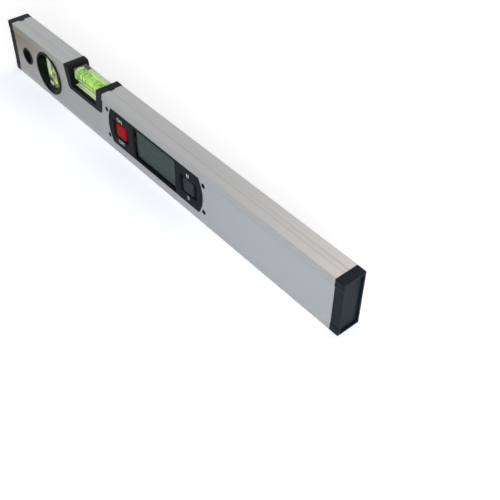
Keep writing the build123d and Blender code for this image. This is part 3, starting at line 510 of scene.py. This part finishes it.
def cemented_faces(finish, low, tint, roughness, end, end_glow):
    """Shader inputs for clear acrylic, a ground foot and an opaque end, with painted glow."""
    place = add(finish, "ShaderNodeTexCoord").outputs["Object"]
    axes = add(finish, "ShaderNodeSeparateXYZ", {0: place}).outputs
    off_foot = add(finish, "ShaderNodeMath", {
        0: axes["Z"], 1: low.z + FACE_BAND}, operation="GREATER_THAN").outputs[0]
    off_end = add(finish, "ShaderNodeMath", {
        0: axes["X"], 1: low.x + FACE_BAND}, operation="GREATER_THAN").outputs[0]
    polished = add(finish, "ShaderNodeMath", {0: off_foot, 1: off_end}, operation="MULTIPLY")
    body = add(finish, "ShaderNodeMix", {
        SHARE: off_end, COLOUR_A: linear(end), COLOUR_B: tint}, data_type="RGBA")
    # Painted light: the ground foot glows, and so does the end if asked
    foot_glow = add(finish, "ShaderNodeMath", {
        0: -FOOT_GLOW, 1: off_foot, 2: FOOT_GLOW + end_glow}, operation="MULTIPLY_ADD")
    faces_glow = add(finish, "ShaderNodeMath", {
        0: -end_glow, 1: off_end, 2: foot_glow.outputs[0]}, operation="MULTIPLY_ADD")
    matt = add(finish, "ShaderNodeMath", {
        0: roughness - END_ROUGHNESS, 1: off_end, 2: END_ROUGHNESS}, operation="MULTIPLY_ADD")
    return {"Base Color": body.outputs[COLOUR_OUT], "Roughness": matt.outputs[0],
            "Transmission Weight": polished.outputs[0], "Emission Strength": faces_glow.outputs[0]}


def clear(name, pale, deep, cloud_mm, index, roughness, dye=None, dye_and_fill_glow=0.0,
          cemented=None, end=CEMENT_BLACK, end_glow=0.0):
    """See-through finish between two tints, with a dye in depth, or cemented at its left end."""
    finish = empty_finish(name)
    place = add(finish, "ShaderNodeTexCoord").outputs["Object"]
    cloud = add(finish, "ShaderNodeTexNoise", {"Vector": place, "Scale": per_metre(cloud_mm)})
    tint = add(finish, "ShaderNodeMix", {
        SHARE: cloud.outputs[0], COLOUR_A: linear(pale), COLOUR_B: linear(deep)},
        data_type="RGBA").outputs[COLOUR_OUT]
    # The emission is painted light, in the spirit partly also the dye's own glow
    inputs = {
        "Base Color": tint, "Roughness": roughness, "IOR": index, "Transmission Weight": 1.0,
        "Emission Color": linear(DYE_AND_FILL_GLOW if dye else deep), "Emission Strength": dye_and_fill_glow}
    if cemented:
        inputs.update(cemented_faces(finish, cemented[0], tint, roughness, end, end_glow))
    glass = add(finish, "ShaderNodeBsdfPrincipled", inputs)
    result = {"Surface": glass.outputs[0]}
    if dye:
        result["Volume"] = add(finish, "ShaderNodeVolumeAbsorption", {
            "Color": linear(dye), "Density": DYE_PER_METRE}).outputs[0]
    add(finish, "ShaderNodeOutputMaterial", result)
    return finish


# %% Acrylic, pane and plug
FLAME_POLISHED = {"pale": "#f4fae8", "deep": "#ecf6da", "cloud_mm": 20.0,
                  "index": ACRYLIC_INDEX, "roughness": 0.01}

# Machined and buffed to soften what lies behind; the greyer tint is painted shade inside its ring
acrylic = clear("acrylic_polished", "#dde1ce", "#d4dac2",
                cloud_mm=20.0, index=ACRYLIC_INDEX, roughness=0.11)

# Machined and flame-polished: sharp refractions and a trace of green at the edges
level_acrylic = clear("acrylic_polished_cemented", **FLAME_POLISHED,
                      cemented=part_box("level_vial"))

# A clear plug whose pale outer end has a painted glow: it shows through plug and block as a light
# disc
level_plug = clear("acrylic_plug_cast", **FLAME_POLISHED,
                   cemented=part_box("level_vial_plug"), end="#e6f2b8", end_glow=0.35)

# Anti-glare coating, drawn as a low index: the pane hardly mirrors the room
pane = clear("polycarbonate_pane_coated", "#f4f8f7", "#eef4f2",
             cloud_mm=30.0, index=1.04, roughness=0.0)
print("clear solids:", [m.name for m in (acrylic, level_acrylic, level_plug, pane)])

# %% Spirit and air
SPIRIT_INDEX = 1.36
THIN_DYED = {"pale": "#f6fac4", "deep": "#eef6b4", "cloud_mm": 9.0,
             "index": SPIRIT_INDEX, "roughness": 0.0}

# Fluorescent dye: bright lime, with a glow partly its own and partly painted light
spirit = clear("vial_spirit_dyed", **THIN_DYED, dye="#e8f424", dye_and_fill_glow=0.18)

# The same dye inside the beam, painted in shade: a quieter yellow with less glow
shaded_spirit = clear("vial_spirit_dyed_shaded", **THIN_DYED, dye="#e8e824", dye_and_fill_glow=0.08)

# Air in the liquid: no colour of its own, only a bright and a dark rim
air = clear("vial_air", "#ffffff", "#fafff2", cloud_mm=5.0, index=1 / SPIRIT_INDEX, roughness=0.0)
print("in the vials:", [m.name for m in (spirit, shaded_spirit, air)])

# %% [markdown]
# ## The other finishes
#
# What is left are the printed inks, the display glass, the pale plug, black oxide screws, tinned
# contacts, the jacket of the cells and the green board. Each varies a little between two tones, as
# the real ones do, so one recipe with a few numbers is enough. The cells need one thing more: their
# jacket ends short of the steel caps, so beyond a distance from their middle the finish is bare.

# %% General recipe
TONED_SPREAD = 0.05
TONED_BUMP = 0.4
BARE_STEEL = "#c2c2c0"


def toned(name, dark, light, patch_mm, roughness, metallic=0.0, bump_mm=0.0, gloss=0.5, glow=0.0,
          bare_beyond=None):
    """Opaque finish between two tones in patches, bare beyond a distance from a place in X."""
    finish = empty_finish(name)
    place = add(finish, "ShaderNodeTexCoord").outputs["Object"]
    patch = add(finish, "ShaderNodeTexNoise", {
        "Vector": place, "Scale": per_metre(patch_mm), "Detail": 3.0})
    tone = add(finish, "ShaderNodeMix", {
        SHARE: patch.outputs[0], COLOUR_A: linear(dark), COLOUR_B: linear(light)},
        data_type="RGBA").outputs[COLOUR_OUT]
    matt = add(finish, "ShaderNodeMapRange", {
        "Value": patch.outputs[0], **NOISE_RANGE,
        "To Min": roughness - TONED_SPREAD, "To Max": roughness + TONED_SPREAD})
    bump = add(finish, "ShaderNodeBump", {
        "Height": patch.outputs[0], "Strength": TONED_BUMP, "Distance": bump_mm * MM})
    if bare_beyond:
        middle_x, half = bare_beyond
        along = add(finish, "ShaderNodeSeparateXYZ", {0: place}).outputs["X"]
        covered = add(finish, "ShaderNodeMath", {
            0: along, 1: middle_x, 2: half}, operation="COMPARE").outputs[0]
        tone = add(finish, "ShaderNodeMix", {
            SHARE: covered, COLOUR_A: linear(BARE_STEEL), COLOUR_B: tone},
            data_type="RGBA").outputs[COLOUR_OUT]
        metallic = add(finish, "ShaderNodeMath", {
            0: 1.0, 1: covered}, operation="SUBTRACT").outputs[0]
    surface = add(finish, "ShaderNodeBsdfPrincipled", {
        "Base Color": tone, "Roughness": matt.outputs[0], "Normal": bump.outputs[0],
        "Metallic": metallic, "Specular IOR Level": gloss,
        "Emission Color": linear(light), "Emission Strength": glow})
    add(finish, "ShaderNodeOutputMaterial", {"Surface": surface.outputs[0]})
    return finish


# %% Plug, display and inks
# Soft waxy plastic: pale, matt, and tinted by the dye beside it
plug_pale = toned("polythene_plug_moulded", "#d2e0a4", "#deeab4",
                  patch_mm=2.0, roughness=0.45, bump_mm=0.02)

# Polarised glass with the power off: the diffuser behind it returns some daylight, and a painted
# glow on glass and segments fills the shade of the recess, so the grey-green stays even into the
# corners, with segments a shade darker
display_glass = toned("display_glass_grey_green", "#303735", "#353c3a",
                      patch_mm=25.0, roughness=0.3, gloss=0.02, glow=0.75)
segment_ink = toned("display_segment_ink", "#272d2b", "#2b312f",
                    patch_mm=8.0, roughness=0.3, gloss=0.02, glow=0.75)

# Printed inks: flat and slightly rough, so that letters and lines keep an even tone
black_print = toned("black_print", "#24292a", "#2a3031", patch_mm=3.0, roughness=0.4, gloss=0.1)
white_print = toned("white_pad_print", "#c9cdd0", "#d9dcde", patch_mm=1.5, roughness=0.5, gloss=0.2)
vial_ink = toned("vial_line_ink", "#2c2410", "#3a2e14", patch_mm=2.0, roughness=0.5)
inks = (plug_pale, display_glass, segment_ink, black_print, white_print, vial_ink)
print("plug, display and inks:", [m.name for m in inks])

# %% Inner pieces and screws
CELL_END = 1.6 * MM

# Frosted acrylic: a milky white that spreads the light
backlight = toned("backlight_acrylic_diffuser", "#dfe6dd", "#eef2ea", patch_mm=12.0, roughness=0.5)

# Screen-printed solder mask: a satin green film over the copper
board_green = toned("circuit_board_solder_mask", "#1c5a34", "#24683e",
                    patch_mm=4.0, roughness=0.4, bump_mm=0.02)

# Filled moulding resin: chips and switches look dull and slightly grainy
epoxy = toned("epoxy_package_moulded", "#1d1d1e", "#26272a",
              patch_mm=1.0, roughness=0.6, bump_mm=0.02)

# Tinned: a soft bright metal with small dull patches
tin = toned("steel_tin_plated", "#b9babb", "#cfcfcf",
            patch_mm=1.5, roughness=0.3, metallic=1.0, bump_mm=0.01)

# Chemical blackening: the metal keeps a faint gleam under the black
black_oxide = toned("steel_black_oxide", "#0d0e0f", "#141516",
                    patch_mm=0.8, roughness=0.45, metallic=0.3, bump_mm=0.01, gloss=0.2)

# Printed shrink sleeve: glossy blue on the cells, with their ends left as bright bare steel
cell_low, cell_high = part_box("batteries")
cell_jacket = toned("cell_jacket_printed", "#2f4a63", "#36536e", patch_mm=6.0, roughness=0.3,
                    bare_beyond=((cell_low.x + cell_high.x) / 2,
                                 (cell_high.x - cell_low.x) / 2 - CELL_END))
print("all finishes:", len(bpy.data.materials))

# %% [markdown]
# ## Dress the solids
#
# Most solids already have the right shape, so they only change their material. It goes into the
# slot that each solid brought with it, and no solid is moved.

# %% Dress the solids
DRESS = {
    aluminium: ["beam"],
    black_abs: ["end_cap_left", "end_cap_right"],
    ring_abs: ["plumb_holder_front", "plumb_holder_back"],
    saddle_abs: ["level_vial_frame", "hang_bush_front", "hang_bush_back"],
    door_abs: ["battery_door", "battery_box"],
    fascia_abs: ["display_fascia"],
    red_abs: ["on_off_button"],
    grey_abs: ["hold_button"],
    acrylic: ["plumb_vial"],
    level_acrylic: ["level_vial"],
    spirit: ["level_vial_liquid"],
    shaded_spirit: ["plumb_vial_liquid"],
    air: ["level_vial_bubble", "plumb_vial_bubble"],
    level_plug: ["level_vial_plug"],
    plug_pale: ["plumb_vial_plug"],
    pane: ["display_window"],
    display_glass: ["lcd_panel"],
    backlight: ["lcd_backlight"],
    board_green: ["circuit_board"],
    epoxy: ["controller_chip", "button_switches"],
    tin: ["tilt_sensor", "battery_contacts"],
    black_oxide: ["display_screws", "battery_screws"],
    cell_jacket: ["batteries"],
}
for finish, names in DRESS.items():
    for name in names:
        nodes[name].material_slots[0].material = finish
print("dressed:", sum(len(names) for names in DRESS.values()))

# %% [markdown]
# ## Pieces from meshes
#
# Every new piece below is shaped in a bmesh, in place, and then handed to one function that makes
# the object, gives it its finish and ties it to the body that it moves with. Two more functions
# shape what occurs often: forms turned about an axis, and thin plates that face the display side.

# %% Piece helpers
MERGE = 0.001 * MM
UPRIGHT = Matrix.Rotation(radians(90), 4, "X")


def piece(name, shape, finish, body, replaces=None, smooth=True):
    """Object from a finished bmesh: its place is in its mesh, and it rides on a body."""
    bmesh.ops.remove_doubles(shape, verts=shape.verts, dist=MERGE)
    bmesh.ops.recalc_face_normals(shape, faces=shape.faces)
    for face in shape.faces:
        face.smooth = smooth
    made = from_shape(name, shape, finish)
    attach(made, body)
    if replaces:
        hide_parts(replaces)
    print(name, "faces:", len(made.data.polygons))


def turn(shape, profile, centre, axis, steps):
    """Adds a turned form: a profile of points is spun once about an axis."""
    points = [shape.verts.new(p) for p in profile]
    edges = [shape.edges.new(pair) for pair in zip(points, points[1:])]
    bmesh.ops.spin(shape, geom=points + edges, cent=centre, axis=axis, angle=2 * pi, steps=steps,
                   use_merge=True)


def only_verts(geometry):
    """The vertices among the parts that an operator made."""
    return [g for g in geometry if isinstance(g, bmesh.types.BMVert)]


def front_plate(shape, thickness, place):
    """Gives flat faces a thickness, and stands them up to face the display side at a place."""
    raised = bmesh.ops.extrude_face_region(shape, geom=shape.faces[:], use_keep_orig=True)["geom"]
    bmesh.ops.translate(shape, verts=only_verts(raised), vec=(0, 0, thickness))
    bmesh.ops.transform(shape, verts=shape.verts, matrix=Matrix.Translation(place) @ UPRIGHT)


def middle(node):
    """Centre of a solid's box."""
    low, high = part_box(node)
    return (low + high) / 2


print("middle of the display in mm:", [round(v / MM, 1) for v in middle("lcd_panel")])

# %% [markdown]
# ## The liquid
#
# The lengthwise bore is a barrel, with a radius a fifth of a millimetre larger in the middle, and
# the upright one is a plain cylinder. The liquid fills its bore, so a profile of the bore is spun
# about its axis. The solid's flat facets would show as stripes in the refraction.

# %% Level liquid
LEVEL_BORE_RADIUS = 3.6 * MM
BARREL = 0.2 * MM
WETTING = 0.03 * MM
BORE_STEPS = 96
BARREL_POINTS = 13

level_axis = middle("level_vial_plug")
level_low, level_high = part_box("level_vial_liquid")
level_mid = (level_low.x + level_high.x) / 2
level_half = (level_high.x - level_low.x) / 2 + WETTING


def level_bore(x):
    """Radius of the barrel-shaped bore at a place along the beam."""
    share = (x - level_mid) / level_half
    return LEVEL_BORE_RADIUS - BARREL * share * share


level_fill = bmesh.new()
xs = [level_mid + level_half * (2 * i / (BARREL_POINTS - 1) - 1) for i in range(BARREL_POINTS)]
turn(level_fill, [
    (xs[0], 0, level_axis.z),
    *[(x, 0, level_axis.z + level_bore(x) + WETTING) for x in xs],
    (xs[-1], 0, level_axis.z),
], (0, 0, level_axis.z), (1, 0, 0), BORE_STEPS)
piece("level_vial_fill", level_fill, spirit, "level_body",
      replaces="level_vial_liquid")

# %% Plumb liquid
PLUMB_BORE_RADIUS = 4.1 * MM

plumb_axis = middle("plumb_vial_plug")
plumb_low, plumb_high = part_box("plumb_vial_liquid")
plumb_foot = plumb_low.z - WETTING
plumb_top = plumb_high.z + WETTING
plumb_radius = PLUMB_BORE_RADIUS + WETTING
plumb_fill = bmesh.new()
turn(plumb_fill, [
    (plumb_axis.x, 0, plumb_foot),
    (plumb_axis.x + plumb_radius, 0, plumb_foot),
    (plumb_axis.x + plumb_radius, 0, plumb_top),
    (plumb_axis.x, 0, plumb_top),
], (plumb_axis.x, 0, 0), (0, 0, 1), BORE_STEPS)
piece("plumb_vial_fill", plumb_fill, shaded_spirit, "level_body",
      replaces="plumb_vial_liquid")

# %% [markdown]
# ## The plugs
#
# A plug closes the open end of each bore. The level vial's is clear with a pale outer end, the
# upright one is pale all through. Each is pressed in hard, so no air is left round its waist, and
# like the liquid it is modelled a hair wider than its hole. A short cylinder is enough, with its
# rims slightly rounded to lead it in.

# %% Plugs
PLUG_ROUNDING = 0.15 * MM
PLUG_STEPS = 64
RIM_STEPS = 6
SEAT_SLIP = 0.1 * MM


def stopper(node, axis):
    """Plug as a disc along an axis, with round edges, a hair larger than its solid."""
    low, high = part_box(node)
    centre = (low + high) / 2
    i = max(range(3), key=lambda k: abs(axis[k]))
    length = high[i] - low[i]
    radius = (high - low)[(i + 1) % 3] / 2 + SEAT_SLIP + WETTING
    shape = bmesh.new()
    bmesh.ops.create_cone(shape, cap_ends=True, segments=PLUG_STEPS, radius1=radius, radius2=radius,
                          depth=length + WETTING, matrix=Matrix.Translation((0, 0, WETTING / 2)))
    rims = [e for e in shape.edges if abs(e.verts[0].co.z - e.verts[1].co.z) < WETTING]
    bmesh.ops.bevel(shape, geom=rims, offset=PLUG_ROUNDING, affect="EDGES", segments=RIM_STEPS,
                    profile=0.5, material=-1)
    aim = Vector(axis).to_track_quat("Z", "X").to_matrix().to_4x4()
    bmesh.ops.transform(shape, matrix=Matrix.Translation(centre) @ aim, verts=shape.verts)
    return shape


piece("level_vial_stopper", stopper("level_vial_plug", (1, 0, 0)), level_plug, "level_body",
      replaces="level_vial_plug")
piece("plumb_vial_stopper", stopper("plumb_vial_plug", (0, 0, 1)), plug_pale, "level_body",
      replaces="plumb_vial_plug")

# %% [markdown]
# ## The bubbles
#
# Each vial has a bubble of air that moves along its bore. Both start as spheres: one is drawn out
# along the bore and flattened where it floats on the liquid, the other stands on end. A sphere that
# is pulled apart at its middle keeps round ends, which a scaled one would not.

# %% Level bubble
BUBBLE_WAIST = 0.38
SPHERE_STEPS = {"u_segments": 48, "v_segments": 24}
NEARLY_ZERO = 1e-6


def side_of(value):
    """Which side of zero a value lies on: -1, 0 or 1."""
    return (value > NEARLY_ZERO) - (value < -NEARLY_ZERO)


# Drawn out along the beam, with its widest line low, where it floats
low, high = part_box("level_vial_bubble")
half_width = (high.y - low.y) / 2
stretch = (high.x - low.x) / 2 - half_width
waist = low.z + (high.z - low.z) * BUBBLE_WAIST
level_air = bmesh.new()
bmesh.ops.create_uvsphere(level_air, radius=1.0, **SPHERE_STEPS)
for vert in level_air.verts:
    reach = high.z - waist if vert.co.z > 0 else waist - low.z
    vert.co = Vector((
        (low.x + high.x) / 2 + vert.co.x * half_width + side_of(vert.co.x) * stretch,
        vert.co.y * half_width,
        waist + vert.co.z * reach,
    ))
piece("level_vial_air", level_air, air, "level_bubble", replaces="level_vial_bubble")

# %% Plumb bubble
# Standing on end, at the top of the upright bore
low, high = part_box("plumb_vial_bubble")
centre = (low + high) / 2
radius = (high.x - low.x) / 2
stretch = (high.z - low.z) / 2 - radius
plumb_air = bmesh.new()
bmesh.ops.create_uvsphere(plumb_air, radius=radius, **SPHERE_STEPS)
for vert in plumb_air.verts:
    vert.co = centre + vert.co + Vector((0, 0, side_of(vert.co.z) * stretch))
piece("plumb_vial_air", plumb_air, air, "plumb_bubble", replaces="plumb_vial_bubble")

# %% [markdown]
# ## The lines on the vials
#
# Two thin dark bands on the wall of each bore mark where the bubble should stand. A texture could
# paint them, but real hoops bend with the liquid as the printed rings do. They are turned as small
# square hoops, just inside the bore.

# %% Vial lines
LINE_WIDTH = 0.7 * MM
LINE_DEPTH = 0.1 * MM
LEVEL_LINE_OFFSET = 7.7 * MM
PLUMB_LINE_OFFSET = 4.4 * MM


def hoops(centre, axis, places, radius_at):
    """Square hoops round an axis, at places along it."""
    shape = bmesh.new()
    out = Vector((0, 1, 0))
    for place in places:
        outer = radius_at(place)
        inner = outer - LINE_DEPTH
        start = Vector(centre) + Vector(axis) * place
        corners = [(-1, outer), (1, outer), (1, inner), (-1, inner), (-1, outer)]
        turn(shape, [start + Vector(axis) * side * LINE_WIDTH / 2 + out * reach
                     for side, reach in corners], centre, axis, BORE_STEPS)
    return shape


bubble_x = middle("level_vial_bubble").x
level_lines = hoops((0, 0, level_axis.z), (1, 0, 0), [
    bubble_x - LEVEL_LINE_OFFSET, bubble_x + LEVEL_LINE_OFFSET], level_bore)
piece("level_vial_lines", level_lines, vial_ink, "level_body", smooth=False)

bore_z = (plumb_foot + plumb_top) / 2
plumb_lines = hoops((plumb_axis.x, 0, 0), (0, 0, 1), [
    bore_z - PLUMB_LINE_OFFSET, bore_z + PLUMB_LINE_OFFSET], lambda z: PLUMB_BORE_RADIUS)
piece("plumb_vial_lines", plumb_lines, vial_ink, "level_body", smooth=False)

# %% [markdown]
# ## Screws
#
# The black screws have flat countersunk heads with a cross recess. A grid of three by three cells
# makes the cross: its middle row and column are pushed in, and the grid's rim is bridged to the
# round edge of the head. The rim then runs down the cone to the shank. The solids have plain heads
# and only give the places.

# %% Screw
HEAD_RADIUS = 2.0 * MM
SHANK_RADIUS = 1.1 * MM
HEAD_STEPS = 32
CROSS_HALF_LENGTH = 1.15 * MM
CROSS_HALF_WIDTH = 0.24 * MM
CROSS_DEPTH = 0.75 * MM
CROSS_TAPER = 0.7
GRID_CELLS = 3

# Lines of the unit grid that lie further out than this are its rim, the others bound the middle
OUTER_LINE = 0.5


def cross_head(shape):
    """Adds a flat round head with a sunk cross, and gives the edges of its rim."""
    bmesh.ops.create_grid(shape, x_segments=GRID_CELLS, y_segments=GRID_CELLS, size=1.0)
    for vert in shape.verts:
        for i in (0, 1):
            half = CROSS_HALF_LENGTH if abs(vert.co[i]) > OUTER_LINE else CROSS_HALF_WIDTH
            vert.co[i] = half if vert.co[i] > 0 else -half
    cross = [f for f in shape.faces
             if min(abs(c) for c in f.calc_center_median().xy) < NEARLY_ZERO]
    rim = bmesh.ops.create_circle(shape, segments=HEAD_STEPS, radius=HEAD_RADIUS)["verts"]
    rim_edges = [e for e in shape.edges if e.verts[0] in rim and e.verts[1] in rim]
    grid_edges = [e for e in shape.edges if e.is_boundary and e not in rim_edges]
    bmesh.ops.bridge_loops(shape, edges=grid_edges + rim_edges)
    sunk = only_verts(bmesh.ops.extrude_face_region(shape, geom=cross)["geom"])
    bmesh.ops.delete(shape, geom=[f for f in cross if f.is_valid], context="FACES_ONLY")
    bmesh.ops.scale(shape, verts=sunk, vec=(CROSS_TAPER, CROSS_TAPER, 1.0))
    bmesh.ops.translate(shape, verts=sunk, vec=(0, 0, -CROSS_DEPTH))
    return rim_edges


def screw_form(length, turned, place, outward):
    """One screw whose head lies flush at a place and faces along an outward direction."""
    shape = bmesh.new()
    ring = cross_head(shape)
    cone = (SHANK_RADIUS / HEAD_RADIUS, HEAD_RADIUS - SHANK_RADIUS)
    shank = (1.0, length)
    for radius_share, drop in (cone, shank):
        lower = bmesh.ops.extrude_edge_only(shape, edges=ring)["geom"]
        verts = only_verts(lower)
        bmesh.ops.scale(shape, verts=verts, vec=(radius_share, radius_share, 1.0))
        bmesh.ops.translate(shape, verts=verts, vec=(0, 0, -drop))
        ring = [g for g in lower if isinstance(g, bmesh.types.BMEdge)]
    bmesh.ops.contextual_create(shape, geom=ring)
    aim = Vector(outward).to_track_quat("Z", "X").to_matrix().to_4x4()
    stand = Matrix.Translation(place) @ aim @ Matrix.Rotation(turned, 4, "Z")
    bmesh.ops.transform(shape, matrix=stand, verts=shape.verts)
    return shape


print("head of a screw in mm:", 2 * HEAD_RADIUS / MM)

# %% Screw groups
HEAD_TOLERANCE = 0.01 * MM
ONE_HEAD = 2.1 * HEAD_RADIUS
FIRST_TURN = 20
NEXT_TURN = 37


def head_centres(node, face):
    """Centres of a group's screws, found in the solids by the corners of their heads at a face."""
    heads = [v.co for v in nodes[node].data.vertices if abs(v.co.y - face) < HEAD_TOLERANCE]
    centres = []
    for head in heads:
        near = [c for c in heads if (c - head).length < ONE_HEAD]
        centre = Vector([(min(c[i] for c in near) + max(c[i] for c in near)) / 2 for i in range(3)])
        if all((centre - c).length > HEAD_RADIUS for c in centres):
            centres.append(centre)
    return centres


def screw_group(name, node, outward):
    """All the screws of one group, each turned to another angle, as a driver leaves them."""
    low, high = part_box(node)
    length = high.y - low.y - (HEAD_RADIUS - SHANK_RADIUS)
    centres = head_centres(node, low.y if outward[1] < 0 else high.y)
    group = bmesh.new()
    for i, centre in enumerate(centres):
        one = screw_form(length, radians(FIRST_TURN + NEXT_TURN * i), centre, outward)
        mesh = bpy.data.meshes.new("one_screw")
        one.to_mesh(mesh)
        one.free()
        group.from_mesh(mesh)
        bpy.data.meshes.remove(mesh)
    piece(name, group, black_oxide, "level_body", replaces=node, smooth=False)
    print(name, "screws:", len(centres))


screw_group("display_screw_heads", "display_screws", (0, -1, 0))
screw_group("battery_screw_heads", "battery_screws", (0, 1, 0))

# %% [markdown]
# ## Display border and segments
#
# A black border is printed on the back of the pane, so that the edges of the display glass don't
# show. It is a grid of three by three cells without its middle one, with its lines moved to where
# the border ends. The glass itself carries faint segments of three digits and a decimal point,
# which can just be seen while the display is off. A six-sided circle, drawn out, makes one segment.

# %% Border
BORDER_LEFT = 0.8 * MM
BORDER_RIGHT = 2.2 * MM
BORDER_BELOW = 0.4 * MM
BORDER_ABOVE = 1.2 * MM
WINDOW_HALF_X = 25.9 * MM
WINDOW_HALF_Z = 13.7 * MM
PRINT_THICK = 0.04 * MM
MIDDLE_CELL = 0.1

pane_low, pane_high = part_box("display_window")
pane_mid = (pane_low + pane_high) / 2
pane_half_x = pane_high.x - pane_mid.x
pane_half_z = pane_high.z - pane_mid.z
columns = (-pane_half_x, BORDER_LEFT - WINDOW_HALF_X, WINDOW_HALF_X - BORDER_RIGHT, pane_half_x)
rows = (-pane_half_z, BORDER_BELOW - WINDOW_HALF_Z, WINDOW_HALF_Z - BORDER_ABOVE, pane_half_z)

border = bmesh.new()
bmesh.ops.create_grid(border, x_segments=GRID_CELLS, y_segments=GRID_CELLS, size=1.0)
opening = [f for f in border.faces if f.calc_center_median().length < MIDDLE_CELL]
bmesh.ops.delete(border, geom=opening, context="FACES_ONLY")
for vert in border.verts:
    column, row = (round((c + 1) * GRID_CELLS / 2) for c in vert.co.xy)
    vert.co.xy = columns[column], rows[row]
front_plate(border, PRINT_THICK, (pane_mid.x, pane_high.y + 2 * PRINT_THICK, pane_mid.z))
piece("display_border", border, black_print, "level_body", smooth=False)

# %% Segments
DIGIT_WIDTH = 8.0 * MM
DIGIT_HEIGHT = 15.0 * MM
DIGIT_PITCH = 12.0 * MM
SEGMENT_THICK = 1.5 * MM
SEGMENT_GAP = 0.3 * MM
SEGMENT_CORNERS = 6
POINT_RADIUS = 0.9 * MM
POINT_STEPS = 16
SLANT = 0.12

lcd_low, lcd_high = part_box("lcd_panel")
lcd_mid = (lcd_low + lcd_high) / 2
digits = bmesh.new()


def bar(x, y, length, turned):
    """Pointed bar in the plane of the display."""
    size = Matrix.Diagonal((length / 2 - SEGMENT_GAP, SEGMENT_THICK / 2, 1, 1))
    bmesh.ops.create_circle(
        digits, cap_ends=True, segments=SEGMENT_CORNERS, radius=1.0,
        matrix=Matrix.Translation((x, y, 0)) @ Matrix.Rotation(turned, 4, "Z") @ size)


for column in (-1, 0, 1):
    digit_x = column * DIGIT_PITCH
    for row in (-1, 0, 1):
        bar(digit_x, row * DIGIT_HEIGHT / 2, DIGIT_WIDTH, 0)
    for side in (-1, 1):
        for half in (-1, 1):
            bar(digit_x + side * DIGIT_WIDTH / 2, half * DIGIT_HEIGHT / 4, DIGIT_HEIGHT / 2,
                radians(90))
bmesh.ops.create_circle(digits, cap_ends=True, segments=POINT_STEPS, radius=POINT_RADIUS,
                        matrix=Matrix.Translation((DIGIT_PITCH / 2, -DIGIT_HEIGHT / 2, 0)))
shear = Matrix.Identity(4)
shear[0][1] = SLANT
bmesh.ops.transform(digits, verts=digits.verts, matrix=shear)
front_plate(digits, PRINT_THICK, (lcd_mid.x, lcd_low.y, lcd_mid.z))
piece("display_segments", digits, segment_ink, "level_body", smooth=False)

# %% [markdown]
# ## Marks beside the keys
#
# The red key switches on and off, and light marks above and below it say so. The grey key freezes
# the reading and sets it to zero: two bars and a nought stand for that. Letters are text curves
# that are turned into thin solid meshes first, so that their place can be applied to the mesh.

# %% Letters
MARK_HEIGHT = 3.1 * MM
MARK_THICK = 0.03 * MM
MARK_UPPER = 33.0 * MM
MARK_LOWER = 12.9 * MM
CAPITAL_SHARE = 0.7
fascia_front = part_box("display_fascia")[0].y
red_x = middle("on_off_button").x
grey_x = middle("hold_button").x


def lettering(name, text, x, z):
    """Printed word on the fascia, centred on a place."""
    curve = bpy.data.curves.new(name, "FONT")
    curve.body = text
    curve.size = MARK_HEIGHT / CAPITAL_SHARE
    curve.align_x = "CENTER"
    curve.align_y = "CENTER"
    curve.extrude = MARK_THICK
    maker = bpy.data.objects.new(name + "_curve", curve)
    bpy.context.scene.collection.objects.link(maker)
    bpy.context.view_layer.update()
    drawn = maker.evaluated_get(bpy.context.evaluated_depsgraph_get())
    mesh = bpy.data.meshes.new_from_object(drawn)
    bpy.data.objects.remove(maker)
    bpy.data.curves.remove(curve)
    shape = bmesh.new()
    shape.from_mesh(mesh)
    bpy.data.meshes.remove(mesh)
    bmesh.ops.transform(shape, verts=shape.verts,
                        matrix=Matrix.Translation((x, fascia_front, z)) @ UPRIGHT)
    piece(name, shape, white_print, "level_body", smooth=False)


lettering("mark_on", "ON", red_x, MARK_UPPER)
lettering("mark_off", "OFF", red_x, MARK_LOWER)
lettering("mark_zero", "0", grey_x, MARK_LOWER)

# %% Two bars
BAR_WIDTH = 0.8 * MM

bars = bmesh.new()
for side in (-1, 1):
    bar_place = Matrix.Translation((grey_x + side * BAR_WIDTH, fascia_front, MARK_UPPER))
    bmesh.ops.create_cube(bars, size=1.0, matrix=bar_place @ Matrix.Diagonal(
        (BAR_WIDTH, 2 * MARK_THICK, MARK_HEIGHT, 1)))
piece("mark_hold", bars, white_print, "level_body", smooth=False)
